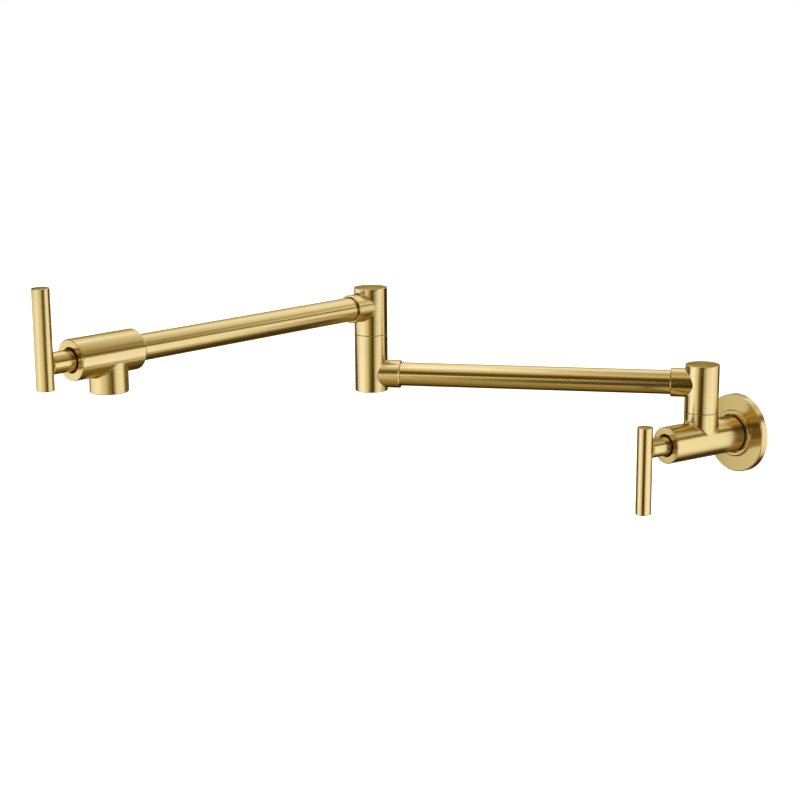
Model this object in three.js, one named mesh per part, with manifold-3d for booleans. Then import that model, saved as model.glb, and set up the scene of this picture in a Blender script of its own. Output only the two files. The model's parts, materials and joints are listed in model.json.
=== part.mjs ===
// Wall mounted pot filler with two swinging arms and a shut-off valve at each end.
//
// Millimetres, +Z up. The origin is the centre of the flange's back face, on the wall;
// the wall is the plane y = 0 and the fitting stands out from it along -Y.
// It is shown with both arms partly swung out and both valves shut.

import * as THREE from 'three';
import { mergeVertices } from 'three/addons/utils/BufferGeometryUtils.js';
import Module from 'manifold-3d';

const wasm = await Module();
wasm.setup();

// ---------------------------------------------------------------- driving dimensions

// Clearances
const GAP = 0.3;                  // between pieces that meet, screw together or turn
const RING_GAP = 0.15;            // between a rubber ring and the faces it seals
const SEAM = 0.4;                 // fine seam between the two halves of a post

// Wall flange
const FLANGE_RADIUS = 33;
const FLANGE_THICKNESS = 6.5;
const FLANGE_CHAMFER = 0.9;
const LIP_WIDTH = 3.2;            // raised lip round the valve body
const LIP_HEIGHT = 2.2;
const LIP_GAP = 1.2;              // open gap between the lip and the valve body
const LIP_GAP_DEPTH = 3.4;
const FLANGE_RING_OFFSET = 3.6;   // rubber ring inside the flange, from the wall
const GASKET_WIDTH = 9;
const GASKET_THICKNESS = 2;

// Valves, the same at the wall and at the spout
const HUB_RADIUS = 8;
const HUB_GAP = 1.35;             // open gap round the hub in the valve's front bore
const GALLERY_STEP = 1.6;         // water gallery round the cartridge
const VALVE_WALL = 4.35;
const FACE_CHAMFER = 0.8;
const SEAT_DEPTH = 41;            // cartridge seat below the valve's front face
const PASSAGE_RADIUS = 5;         // water way through the seat
const GALLERY_LENGTH = 17;

// Wall valve body
const POST_DISTANCE = 44.6;       // axis of the wall post, from the wall
const SEAT_BEHIND_POST = 2.5;
const STUB_RISE = 8.35;           // seam of the wall post above the valve body
const WALL_CLEARANCE = 1;         // the body's back end stays off the wall
const INLET_RADIUS = 9.3;         // half inch female supply thread
const INLET_DEPTH = 19;

// Cartridge
const NUT_RECESS = 6.2;
const NUT_THICKNESS = 5;
const NUT_BORE_RADIUS = 5.2;
const NUT_SLOT_WIDTH = 2.4;
const NUT_SLOT_DEPTH = 1.6;
const BARREL_STEP = 0.45;
const BARREL_WALL = 1.7;
const COLLAR_LENGTH = 10.5;
const WINDOW_WIDTH = 5;
const WINDOW_HEIGHT = 3;
const SEAL_THICKNESS = 2;
const SEAL_WIDTH = 2.1;
const DISC_THICKNESS = 3;
const PORT_RADIUS = 1.6;
const PORT_OFFSET = 3.4;
const STEM_RADIUS = 3.9;
const STEM_FOOT_THICKNESS = 2.5;
const STEM_FOOT_ROOM = 1.3;
const STEM_REACH = 8.5;           // stem end in front of the valve's face
const STEM_GROOVE_DEPTH = 1.4;
const STEM_GROOVE_WIDTH = 2.2;
const STEM_TEETH = 12;
const TOOTH_DEPTH = 0.35;
const TOOTH_LENGTH = 11;

// Lever handles
const BAR_RADIUS = 6.4;
const BAR_STANDOFF = 22.2;        // bar axis in front of the valve's face
const BAR_LONG = 54.7;            // from the hub's axis to the long end
const BAR_SHORT = 18.5;
const BAR_CHAMFER = 0.6;
const HUB_CHAMFER = 0.5;
const HUB_BACK_GAP = 0.6;         // between the hub and the cartridge nut
const TENON_RADIUS = 3;           // spigot of the hub, screwed into the bar
const TENON_DEPTH = 8;
const SET_SCREW_RADIUS = 2;
const SET_SCREW_PLACE = 4.2;      // in front of the valve's face
const SET_SCREW_SINK = 0.5;
const SOCKET_RADIUS = 1.1;
const SOCKET_DEPTH = 1.5;

// Posts and their swivels
const SPIGOT_RADIUS = 8.5;
const SPIGOT_WALL = 3;
const POST_WALL = 5.2;
const POST_CHAMFER = 0.5;
const LOCK_START = 1.8;           // retaining groove above the seam
const LOCK_GROOVE_DEPTH = 1.5;
const LAND = 1.4;                 // ridge between two grooves
const RING_GROOVE_DEPTH = 1.6;
const RING_GROOVE_WIDTH = 2.4;
const WASHER_WIDTH = 3.2;
const WASHER_RECESS = 1;
const SPIGOT_ROOM = 1.5;          // from the valve's gallery to the spigot's root

// Arms
const TUBE_RADIUS = 10;
const TUBE_WALL = 1.3;
const SLEEVE_WALL = 1.6;
const SLEEVE_LENGTH = 11.8;       // in front of the post
const SLEEVE_CHAMFER = 0.7;
const TUBE_SEAT = 12.4;           // how far the tube enters a sleeve
const ARM_PASSAGE_RADIUS = 8;
const WATER_ROOM = 0.5;           // from the spigot's top to the arm's water way
const HOUSING_CROWN = 4;          // post above the sleeve, upper halves
const ELBOW_DROP = 34.4;          // lower arm's axis below the elbow's seam
const ELBOW_HEEL = 2.6;           // post below the sleeve, lower half
const ARM_LENGTH = 278;           // post to post, and post to outlet
const LOWER_ARM_ANGLE = 46.3;     // from the wall, as shown
const ELBOW_ANGLE = 58.1;         // upper arm from the lower arm's line, as shown

// Spout
const OUTLET_RADIUS = 14.3;
const OUTLET_DROP = 28.1;         // mouth below the arm's axis
const OUTLET_CHAMFER = 0.5;
const OUTLET_PASSAGE_RADIUS = 7;
const SEAT_BEHIND_OUTLET = 7.5;
const SEAT_WALL = 4.1;            // between the cartridge seat and the tube's seat
const SPOUT_TUBE_SEAT = 12.8;
const SPOUT_BACK_CHAMFER = 1.6;

// Aerator
const OUTLET_RIM = 2.2;
const AERATOR_RECESS = 1;
const AERATOR_HEIGHT = 9.5;
const AERATOR_WALL = 2;
const AERATOR_LEDGE = 1;
const AERATOR_LEDGE_HEIGHT = 1.2;
const INSERT_HEIGHT = 5;
const INSERT_HOLE_RADIUS = 0.8;
const INSERT_HOLE_PITCH = 3.6;
const AERATOR_WASHER_THICKNESS = 1;
const AERATOR_WASHER_WIDTH = 3.4;

// Number of flat sides on round work
const LARGE_SIDES = 40;
const BODY_SIDES = 36;
const SMALL_SIDES = 20;
const RING_SIDES = 20;
const RING_SECTION_SIDES = 5;
const SCREW_SIDES = 12;
const HOLE_SIDES = 6;

// ---------------------------------------------------------------- worked out from them

const BORE_RADIUS = HUB_RADIUS + HUB_GAP;
const GALLERY_RADIUS = BORE_RADIUS + GALLERY_STEP;
const VALVE_RADIUS = GALLERY_RADIUS + VALVE_WALL;
const WALL_FACE = POST_DISTANCE - SEAT_BEHIND_POST + SEAT_DEPTH;
const WALL_SEAM = VALVE_RADIUS + STUB_RISE;

const SPIGOT_BORE_RADIUS = SPIGOT_RADIUS - SPIGOT_WALL;
const SWIVEL_BORE_RADIUS = SPIGOT_RADIUS + GAP;
const POST_RADIUS = SWIVEL_BORE_RADIUS + POST_WALL;
const SPIGOT_ROOT = WALL_SEAM - GALLERY_RADIUS - SPIGOT_ROOM;
const LOCK_GROOVE_WIDTH = 2 * (SET_SCREW_RADIUS + GAP);
const LOWER_RING_START = LOCK_START + LOCK_GROOVE_WIDTH + LAND;
const UPPER_RING_START = LOWER_RING_START + RING_GROOVE_WIDTH + LAND;
const SPIGOT_RISE = UPPER_RING_START + RING_GROOVE_WIDTH + LAND;

const SLEEVE_BORE_RADIUS = TUBE_RADIUS + GAP;
const SLEEVE_RADIUS = SLEEVE_BORE_RADIUS + SLEEVE_WALL;
const SLEEVE_END = POST_RADIUS + SLEEVE_LENGTH;
const TUBE_STOP = SLEEVE_END - TUBE_SEAT;
const ARM_RISE = SPIGOT_RISE + WATER_ROOM + ARM_PASSAGE_RADIUS;
const UPPER_HOUSING_HEIGHT = ARM_RISE + SLEEVE_RADIUS + HOUSING_CROWN;
const LOWER_HOUSING_HEIGHT = ELBOW_DROP + SLEEVE_RADIUS + ELBOW_HEEL;
const LOWER_ARM_HEIGHT = WALL_SEAM + ARM_RISE;
const ELBOW_SEAM = LOWER_ARM_HEIGHT + ELBOW_DROP;
const UPPER_ARM_HEIGHT = ELBOW_SEAM + ARM_RISE;

const SPOUT_FACE = ARM_LENGTH - SEAT_BEHIND_OUTLET + SEAT_DEPTH;
const SPOUT_LENGTH = SEAT_DEPTH + SEAT_WALL + SPOUT_TUBE_SEAT;
const AERATOR_RADIUS = OUTLET_RADIUS - OUTLET_RIM - GAP;

const CARTRIDGE_RADIUS = BORE_RADIUS - GAP;
const BARREL_RADIUS = CARTRIDGE_RADIUS - BARREL_STEP;
const DISC_ROOM_RADIUS = BARREL_RADIUS - BARREL_WALL;
const DISC_RADIUS = DISC_ROOM_RADIUS - GAP;
const NECK_RADIUS = STEM_RADIUS + GAP;
const HUB_BORE_RADIUS = STEM_RADIUS + GAP;
const BARREL_TOP = -(NUT_RECESS + NUT_THICKNESS + GAP);
const SEAL_BOTTOM = -SEAT_DEPTH + GAP;
const FIXED_DISC_BOTTOM = SEAL_BOTTOM + SEAL_THICKNESS + GAP;
const TURNING_DISC_BOTTOM = FIXED_DISC_BOTTOM + DISC_THICKNESS + GAP;
const STEM_BOTTOM = TURNING_DISC_BOTTOM + DISC_THICKNESS + GAP;
const DISC_ROOM_TOP = STEM_BOTTOM + STEM_FOOT_THICKNESS + STEM_FOOT_ROOM;
const STEM_GROOVE_START = (DISC_ROOM_TOP + BARREL_TOP - STEM_GROOVE_WIDTH) / 2;

const QUARTER = Math.PI / 2;

// ---------------------------------------------------------------- finishes

function finish(color, roughness, metalness) {
  return new THREE.MeshStandardMaterial({ color, roughness, metalness });
}
const brushedGold = () => finish(0xc8a560, 0.32, 1);
const plainBrass = () => finish(0xb8923f, 0.45, 1);
const steel = () => finish(0x8f9194, 0.4, 1);
const rubber = () => finish(0x1b1b1c, 0.8, 0);
const whitePlastic = () => finish(0xe9e7e0, 0.5, 0);
const ceramic = () => finish(0xf3f0ea, 0.25, 0);

// ---------------------------------------------------------------- shapes

// Solid of a closed geometry, its shared corners merged and its empty triangles left out.
function solid(geometry) {
  geometry.deleteAttribute('normal');
  geometry.deleteAttribute('uv');
  const merged = mergeVertices(geometry, 1e-4);
  const corners = merged.index.array;
  const triangles = [];
  for (let i = 0; i < corners.length; i += 3) {
    const [a, b, c] = corners.slice(i, i + 3);
    if (a !== b && b !== c && c !== a) triangles.push(a, b, c);
  }
  const vertProperties = new Float32Array(merged.attributes.position.array);
  const triVerts = new Uint32Array(triangles);
  return new wasm.Manifold(new wasm.Mesh({ numProp: 3, vertProperties, triVerts }));
}

// Turned shape round the Z axis. The outline runs up the outside; each point is [radius, height].
function turned(outline, sides) {
  const points = outline.map(([radius, height]) => new THREE.Vector2(radius, height));
  return new THREE.LatheGeometry(points, sides).rotateX(QUARTER);
}

function rod(radius, bottom, top, sides) {
  return turned([[0, bottom], [radius, bottom], [radius, top], [0, top]], sides);
}

function pipe(outer, inner, bottom, top, sides) {
  return turned([[inner, bottom], [outer, bottom], [outer, top], [inner, top], [inner, bottom]], sides);
}

// Rod with a chamfer at either end; a chamfer of 0 leaves that end sharp.
function chamferedRod(radius, bottom, top, bottomChamfer, topChamfer, sides) {
  const outline = [[0, bottom], [radius - bottomChamfer, bottom]];
  if (bottomChamfer > 0) outline.push([radius, bottom + bottomChamfer]);
  outline.push([radius, top - topChamfer]);
  if (topChamfer > 0) outline.push([radius - topChamfer, top]);
  outline.push([0, top]);
  return turned(outline, sides);
}

const toX = (geometry) => geometry.rotateY(QUARTER);
const toMinusX = (geometry) => geometry.rotateY(-QUARTER);
const toY = (geometry) => geometry.rotateX(-QUARTER);
const toMinusY = (geometry) => geometry.rotateX(QUARTER);

// Rubber ring between a shaft or groove of radius inner and a bore of radius outer.
function rubberRing(inner, outer, height, sides) {
  const section = (outer - inner) / 2 - RING_GAP;
  const ring = new THREE.TorusGeometry((outer + inner) / 2, section, RING_SECTION_SIDES, sides);
  return solid(ring.translate(0, 0, height));
}

// Socket set screw along -Y, from the radius where its tip stands to the radius of its outer end.
function setScrew(tip, end, height) {
  const body = solid(toMinusY(rod(SET_SCREW_RADIUS, tip, end, SCREW_SIDES)).translate(0, 0, height));
  const socket = rod(SOCKET_RADIUS, end - SOCKET_DEPTH, end + 1, HOLE_SIDES);
  return body.subtract(solid(toMinusY(socket).translate(0, 0, height)));
}

function setScrewHole(start, end, height) {
  const hole = rod(SET_SCREW_RADIUS + GAP, start, end, SCREW_SIDES);
  return solid(toMinusY(hole).translate(0, 0, height));
}

function piece(group, name, shape, material) {
  const { vertProperties, triVerts } = shape.getMesh();
  const geometry = new THREE.BufferGeometry();
  geometry.setAttribute('position', new THREE.BufferAttribute(new Float32Array(vertProperties), 3));
  geometry.setIndex(new THREE.BufferAttribute(new Uint32Array(triVerts), 1));
  geometry.computeVertexNormals();
  const mesh = new THREE.Mesh(geometry, material);
  mesh.name = name;
  group.add(mesh);
}

// ---------------------------------------------------------------- wall flange
// In the wall valve's frame: Z runs out from the wall, Y is up.

function addFlange(group) {
  const bore = VALVE_RADIUS + GAP;
  const lipBore = VALVE_RADIUS + LIP_GAP;
  const lipTop = FLANGE_THICKNESS + LIP_HEIGHT;
  const lipRadius = lipBore + LIP_WIDTH;
  const recess = GASKET_THICKNESS + GAP;
  const gasketRadius = bore + GASKET_WIDTH;
  const ringGroove = bore + LIP_GAP;
  const ringHigh = FLANGE_RING_OFFSET + LIP_GAP;
  const outline = [
    [ringGroove, recess],
    [gasketRadius + GAP, recess],
    [gasketRadius + GAP, 0],
    [FLANGE_RADIUS, 0],
    [FLANGE_RADIUS, FLANGE_THICKNESS - FLANGE_CHAMFER],
    [FLANGE_RADIUS - FLANGE_CHAMFER, FLANGE_THICKNESS],
    [lipRadius, FLANGE_THICKNESS],
    [lipRadius, lipTop - LIP_HEIGHT / 2],
    [lipRadius - LIP_HEIGHT / 2, lipTop],
    [lipBore, lipTop],
    [lipBore, lipTop - LIP_GAP_DEPTH],
    [bore, lipTop - LIP_GAP_DEPTH],
    [bore, ringHigh],
    [ringGroove, ringHigh],
    [ringGroove, recess],
  ];
  piece(group, 'wall_flange', solid(turned(outline, LARGE_SIDES)), brushedGold());
  const gasket = pipe(gasketRadius, ringGroove, 0, GASKET_THICKNESS, RING_SIDES);
  piece(group, 'flange_gasket', solid(gasket), rubber());
  const ring = rubberRing(VALVE_RADIUS, ringGroove, FLANGE_RING_OFFSET, BODY_SIDES);
  piece(group, 'flange_o_ring', ring, rubber());
}

// ---------------------------------------------------------------- valves
// In a valve's frame: the origin is the centre of its front face, Z runs out to the handle.

// What is bored out of a valve body from its front face: bore, water gallery, seat and passage.
function valveBore(passageEnd) {
  const galleryTop = -SEAT_DEPTH + GALLERY_LENGTH;
  const outline = [
    [0, -passageEnd],
    [PASSAGE_RADIUS, -passageEnd],
    [PASSAGE_RADIUS, -SEAT_DEPTH],
    [GALLERY_RADIUS, -SEAT_DEPTH],
    [GALLERY_RADIUS, galleryTop],
    [BORE_RADIUS, galleryTop],
    [BORE_RADIUS, 1],
    [0, 1],
  ];
  return turned(outline, SMALL_SIDES);
}

function addWallValveBody(group) {
  const length = WALL_FACE - WALL_CLEARANCE;
  const barrel = chamferedRod(VALVE_RADIUS, -length, 0, 0, FACE_CHAMFER, BODY_SIDES);
  const post = rod(POST_RADIUS, 0, WALL_SEAM - SEAM / 2, BODY_SIDES);
  const inlet = rod(INLET_RADIUS, -length - 1, -length + INLET_DEPTH, SMALL_SIDES);
  const postPlace = POST_DISTANCE - WALL_FACE;
  const body = solid(barrel)
    .add(solid(toY(post).translate(0, 0, postPlace)))
    .subtract(solid(valveBore(length - INLET_DEPTH / 2)))
    .subtract(solid(inlet))
    .subtract(solid(toY(spigotSocket(WALL_SEAM, PASSAGE_RADIUS + GAP)).translate(0, 0, postPlace)));
  piece(group, 'wall_valve_body', body, brushedGold());
}

function addCartridge(group, prefix) {
  const barrelBottom = (SEAL_BOTTOM + FIXED_DISC_BOTTOM) / 2;
  const outline = [
    [DISC_ROOM_RADIUS, barrelBottom],
    [BARREL_RADIUS, barrelBottom],
    [BARREL_RADIUS, BARREL_TOP - COLLAR_LENGTH],
    [CARTRIDGE_RADIUS, BARREL_TOP - COLLAR_LENGTH],
    [CARTRIDGE_RADIUS, BARREL_TOP],
    [NECK_RADIUS, BARREL_TOP],
    [NECK_RADIUS, DISC_ROOM_TOP],
    [DISC_ROOM_RADIUS, DISC_ROOM_TOP],
    [DISC_ROOM_RADIUS, barrelBottom],
  ];
  let barrel = solid(turned(outline, SMALL_SIDES));
  for (const [width, depth] of [[WINDOW_WIDTH, 3 * BARREL_RADIUS], [3 * BARREL_RADIUS, WINDOW_WIDTH]]) {
    const window = new THREE.BoxGeometry(width, depth, WINDOW_HEIGHT);
    barrel = barrel.subtract(solid(window.translate(0, 0, DISC_ROOM_TOP - WINDOW_HEIGHT)));
  }
  piece(group, `${prefix}_cartridge_barrel`, barrel, plainBrass());

  const nutTop = -NUT_RECESS;
  const slot = new THREE.BoxGeometry(3 * BORE_RADIUS, NUT_SLOT_WIDTH, 2 * NUT_SLOT_DEPTH);
  const nut = solid(pipe(CARTRIDGE_RADIUS, NUT_BORE_RADIUS, nutTop - NUT_THICKNESS, nutTop, SMALL_SIDES))
    .subtract(solid(slot.translate(0, 0, nutTop)));
  piece(group, `${prefix}_cartridge_nut`, nut, plainBrass());

  const sealTop = SEAL_BOTTOM + SEAL_THICKNESS;
  const seal = pipe(DISC_RADIUS, DISC_RADIUS - SEAL_WIDTH, SEAL_BOTTOM, sealTop, RING_SIDES);
  piece(group, `${prefix}_cartridge_seal`, solid(seal), rubber());
  piece(group, `${prefix}_fixed_disc`, portedDisc(FIXED_DISC_BOTTOM, 0), ceramic());
  const ringHeight = STEM_GROOVE_START + STEM_GROOVE_WIDTH / 2;
  const ring = rubberRing(STEM_RADIUS - STEM_GROOVE_DEPTH, NECK_RADIUS, ringHeight, RING_SIDES);
  piece(group, `${prefix}_stem_o_ring`, ring, rubber());
}

// Ceramic disc with two water ports, opposite each other at the given angle.
function portedDisc(bottom, angle) {
  let disc = solid(rod(DISC_RADIUS, bottom, bottom + DISC_THICKNESS, RING_SIDES));
  for (const side of [-1, 1]) {
    const port = rod(PORT_RADIUS, bottom - 1, bottom + DISC_THICKNESS + 1, SCREW_SIDES);
    port.translate(side * PORT_OFFSET, 0, 0).rotateZ(angle);
    disc = disc.subtract(solid(port));
  }
  return disc;
}

// Cartridge stem: a foot that drives the turning disc, a grooved shaft and a splined end.
function stem() {
  const footTop = STEM_BOTTOM + STEM_FOOT_THICKNESS;
  const grooveTop = STEM_GROOVE_START + STEM_GROOVE_WIDTH;
  const outline = [
    [0, STEM_BOTTOM],
    [DISC_RADIUS, STEM_BOTTOM],
    [DISC_RADIUS, footTop],
    [STEM_RADIUS, footTop],
    [STEM_RADIUS, STEM_GROOVE_START],
    [STEM_RADIUS - STEM_GROOVE_DEPTH, STEM_GROOVE_START],
    [STEM_RADIUS - STEM_GROOVE_DEPTH, grooveTop],
    [STEM_RADIUS, grooveTop],
    [STEM_RADIUS, STEM_REACH - TOOTH_LENGTH],
    [STEM_RADIUS - TOOTH_DEPTH, STEM_REACH - TOOTH_LENGTH],
    [STEM_RADIUS - TOOTH_DEPTH, STEM_REACH],
    [0, STEM_REACH],
  ];
  const spline = new THREE.Shape();
  for (let i = 0; i < 2 * STEM_TEETH; i += 1) {
    const radius = i % 2 === 0 ? STEM_RADIUS : STEM_RADIUS - TOOTH_DEPTH;
    const angle = (i * Math.PI) / STEM_TEETH;
    spline.lineTo(radius * Math.cos(angle), radius * Math.sin(angle));
  }
  const depth = TOOTH_LENGTH + TOOTH_DEPTH;
  const teeth = new THREE.ExtrudeGeometry(spline, { depth, bevelEnabled: false });
  return solid(turned(outline, RING_SIDES)).add(solid(teeth.translate(0, 0, STEM_REACH - depth)));
}

// Everything that turns with one lever; reach is +1 for a long end up, -1 for a long end down.
function addHandle(group, prefix, reach) {
  const hubBack = -NUT_RECESS + HUB_BACK_GAP;
  const hubFront = BAR_STANDOFF - BAR_RADIUS - GAP;
  const tenonEnd = BAR_STANDOFF - BAR_RADIUS + TENON_DEPTH - GAP;
  const hub = solid(chamferedRod(HUB_RADIUS, hubBack, hubFront, 0, HUB_CHAMFER, SMALL_SIDES))
    .add(solid(rod(TENON_RADIUS, hubFront - 1, tenonEnd, SCREW_SIDES)))
    .subtract(solid(rod(HUB_BORE_RADIUS, hubBack - 1, STEM_REACH + GAP, RING_SIDES)))
    .subtract(setScrewHole(0, HUB_RADIUS + 1, SET_SCREW_PLACE));
  piece(group, `${prefix}_handle_hub`, hub, brushedGold());

  const up = reach > 0 ? BAR_LONG : BAR_SHORT;
  const down = reach > 0 ? BAR_SHORT : BAR_LONG;
  const rail = chamferedRod(BAR_RADIUS, -down, up, BAR_CHAMFER, BAR_CHAMFER, SMALL_SIDES);
  const mortise = rod(TENON_RADIUS + GAP, hubFront, tenonEnd + GAP, SCREW_SIDES);
  const bar = solid(toY(rail).translate(0, 0, BAR_STANDOFF)).subtract(solid(mortise));
  piece(group, `${prefix}_handle_bar`, bar, brushedGold());

  const screw = setScrew(STEM_RADIUS + GAP, HUB_RADIUS - SET_SCREW_SINK, SET_SCREW_PLACE);
  piece(group, `${prefix}_handle_screw`, screw, steel());
  piece(group, `${prefix}_stem`, stem(), plainBrass());
  piece(group, `${prefix}_turning_disc`, portedDisc(TURNING_DISC_BOTTOM, QUARTER), ceramic());
}

// ---------------------------------------------------------------- swivels
// In a swivel's frame: the origin is on the seam of the post, Z is up.

// What is bored out of the lower half of a post whose seam stands at the given height:
// the recess of the washer, the socket of the spigot, and the water way down to an end height.
function spigotSocket(seam, end) {
  const face = seam - SEAM / 2;
  const socketBottom = seam - SPIGOT_ROOT - GAP;
  const washerRadius = SWIVEL_BORE_RADIUS + WASHER_WIDTH + GAP;
  const outline = [
    [0, end],
    [SPIGOT_BORE_RADIUS, end],
    [SPIGOT_BORE_RADIUS, socketBottom],
    [SWIVEL_BORE_RADIUS, socketBottom],
    [SWIVEL_BORE_RADIUS, face - WASHER_RECESS],
    [washerRadius, face - WASHER_RECESS],
    [washerRadius, face + 1],
    [0, face + 1],
  ];
  return turned(outline, SMALL_SIDES);
}

function addSpigot(group, prefix) {
  const lockFloor = SPIGOT_RADIUS - LOCK_GROOVE_DEPTH;
  const ringFloor = SPIGOT_RADIUS - RING_GROOVE_DEPTH;
  const outline = [[SPIGOT_BORE_RADIUS, -SPIGOT_ROOT], [SPIGOT_RADIUS, -SPIGOT_ROOT]];
  const grooves = [
    [LOCK_START, LOCK_GROOVE_WIDTH, lockFloor],
    [LOWER_RING_START, RING_GROOVE_WIDTH, ringFloor],
    [UPPER_RING_START, RING_GROOVE_WIDTH, ringFloor],
  ];
  for (const [start, width, floor] of grooves) {
    outline.push([SPIGOT_RADIUS, start], [floor, start]);
    outline.push([floor, start + width], [SPIGOT_RADIUS, start + width]);
  }
  outline.push([SPIGOT_RADIUS, SPIGOT_RISE], [SPIGOT_BORE_RADIUS, SPIGOT_RISE]);
  outline.push([SPIGOT_BORE_RADIUS, -SPIGOT_ROOT]);
  piece(group, `${prefix}_spigot`, solid(turned(outline, SMALL_SIDES)), plainBrass());

  for (const [place, start] of [['lower', LOWER_RING_START], ['upper', UPPER_RING_START]]) {
    const ring = rubberRing(ringFloor, SWIVEL_BORE_RADIUS, start + RING_GROOVE_WIDTH / 2, SMALL_SIDES);
    piece(group, `${prefix}_o_ring_${place}`, ring, rubber());
  }
  const washerBottom = -SEAM / 2 - WASHER_RECESS + GAP;
  const washerTop = SEAM / 2 - GAP;
  const washerRadius = SWIVEL_BORE_RADIUS + WASHER_WIDTH;
  const washer = pipe(washerRadius, SWIVEL_BORE_RADIUS, washerBottom, washerTop, SMALL_SIDES);
  piece(group, `${prefix}_washer`, solid(washer), whitePlastic());
}

// Sleeve that takes an arm's tube, lying along X from the post's axis; and what is bored out of it.
function sleeve() {
  return chamferedRod(SLEEVE_RADIUS, 0, SLEEVE_END, 0, SLEEVE_CHAMFER, BODY_SIDES);
}

function sleeveBore() {
  const outline = [
    [0, 0],
    [ARM_PASSAGE_RADIUS, 0],
    [ARM_PASSAGE_RADIUS, TUBE_STOP],
    [SLEEVE_BORE_RADIUS, TUBE_STOP],
    [SLEEVE_BORE_RADIUS, SLEEVE_END + 1],
    [0, SLEEVE_END + 1],
  ];
  return turned(outline, SMALL_SIDES);
}

// Upper half of a post, which turns on the spigot and carries the arm that leaves along X.
function addUpperHousing(group, name, screwName) {
  const post = chamferedRod(POST_RADIUS, SEAM / 2, UPPER_HOUSING_HEIGHT, 0, POST_CHAMFER, BODY_SIDES);
  const boreTop = ARM_RISE + ARM_PASSAGE_RADIUS;
  const screwHeight = LOCK_START + LOCK_GROOVE_WIDTH / 2;
  const housing = solid(post)
    .add(solid(toX(sleeve()).translate(0, 0, ARM_RISE)))
    .subtract(solid(rod(SWIVEL_BORE_RADIUS, -1, boreTop, SMALL_SIDES)))
    .subtract(solid(toX(sleeveBore()).translate(0, 0, ARM_RISE)))
    .subtract(setScrewHole(0, POST_RADIUS + 1, screwHeight));
  piece(group, name, housing, brushedGold());
  const tip = SPIGOT_RADIUS - LOCK_GROOVE_DEPTH + GAP;
  piece(group, screwName, setScrew(tip, POST_RADIUS - SET_SCREW_SINK, screwHeight), steel());
}

// Lower half of the elbow post, which holds the spigot and takes the arm that comes in along X.
function addLowerHousing(group, name) {
  const post = chamferedRod(POST_RADIUS, -LOWER_HOUSING_HEIGHT, -SEAM / 2, POST_CHAMFER, 0, BODY_SIDES);
  const housing = solid(post)
    .add(solid(toMinusX(sleeve()).translate(0, 0, -ELBOW_DROP)))
    .subtract(solid(spigotSocket(0, -ELBOW_DROP - SPIGOT_BORE_RADIUS)))
    .subtract(solid(toMinusX(sleeveBore()).translate(0, 0, -ELBOW_DROP)));
  piece(group, name, housing, brushedGold());
}

// ---------------------------------------------------------------- arms and spout

// Tube along X between two of its seats, stopping short of each by the clearance.
function addTube(group, name, start, end, height) {
  const tube = pipe(TUBE_RADIUS, TUBE_RADIUS - TUBE_WALL, start + GAP, end - GAP, BODY_SIDES);
  piece(group, name, solid(toX(tube).translate(0, 0, height)), brushedGold());
}

// In the spout valve's frame: the outlet points along -Y.
function addSpoutBody(group) {
  const outletPlace = ARM_LENGTH - SPOUT_FACE;
  const barrel = chamferedRod(VALVE_RADIUS, -SPOUT_LENGTH, 0, SPOUT_BACK_CHAMFER, FACE_CHAMFER, BODY_SIDES);
  const outlet = chamferedRod(OUTLET_RADIUS, 0, OUTLET_DROP, 0, OUTLET_CHAMFER, BODY_SIDES);
  const seatBottom = -SPOUT_LENGTH + SPOUT_TUBE_SEAT;
  const tubeSeat = rod(SLEEVE_BORE_RADIUS, -SPOUT_LENGTH - 1, seatBottom, SMALL_SIDES);
  const mouth = turned([
    [0, 0],
    [OUTLET_PASSAGE_RADIUS, 0],
    [OUTLET_PASSAGE_RADIUS, OUTLET_DROP - aeratorDepth()],
    [AERATOR_RADIUS + GAP, OUTLET_DROP - aeratorDepth()],
    [AERATOR_RADIUS + GAP, OUTLET_DROP + 1],
    [0, OUTLET_DROP + 1],
  ], SMALL_SIDES);
  const body = solid(barrel)
    .add(solid(toMinusY(outlet).translate(0, 0, outletPlace)))
    .subtract(solid(valveBore(-seatBottom + 1)))
    .subtract(solid(tubeSeat))
    .subtract(solid(toMinusY(mouth).translate(0, 0, outletPlace)));
  piece(group, 'spout_valve_body', body, brushedGold());
}

function aeratorDepth() {
  return AERATOR_RECESS + AERATOR_HEIGHT + GAP + AERATOR_WASHER_THICKNESS + GAP;
}

// In the aerator's frame: the origin is the centre of the outlet's mouth, Z is up.
function addAerator(group) {
  const inner = AERATOR_RADIUS - AERATOR_WALL;
  const shellTop = AERATOR_RECESS + AERATOR_HEIGHT;
  const ledgeTop = AERATOR_RECESS + AERATOR_LEDGE_HEIGHT;
  const outline = [
    [inner - AERATOR_LEDGE, AERATOR_RECESS],
    [AERATOR_RADIUS, AERATOR_RECESS],
    [AERATOR_RADIUS, shellTop],
    [inner, shellTop],
    [inner, ledgeTop],
    [inner - AERATOR_LEDGE, ledgeTop],
    [inner - AERATOR_LEDGE, AERATOR_RECESS],
  ];
  piece(group, 'aerator_shell', solid(turned(outline, SMALL_SIDES)), brushedGold());

  const insertBottom = ledgeTop + GAP;
  let insert = solid(rod(inner - GAP, insertBottom, insertBottom + INSERT_HEIGHT, RING_SIDES));
  for (const [column, row] of insertHoles()) {
    const hole = rod(INSERT_HOLE_RADIUS, insertBottom - 1, insertBottom + INSERT_HEIGHT + 1, HOLE_SIDES);
    insert = insert.subtract(solid(hole.translate(column, row, 0)));
  }
  piece(group, 'aerator_insert', insert, whitePlastic());

  const washerBottom = shellTop + GAP;
  const washerTop = washerBottom + AERATOR_WASHER_THICKNESS;
  const washerBore = AERATOR_RADIUS - AERATOR_WASHER_WIDTH;
  const washer = pipe(AERATOR_RADIUS, washerBore, washerBottom, washerTop, RING_SIDES);
  piece(group, 'aerator_washer', solid(washer), rubber());
}

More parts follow.
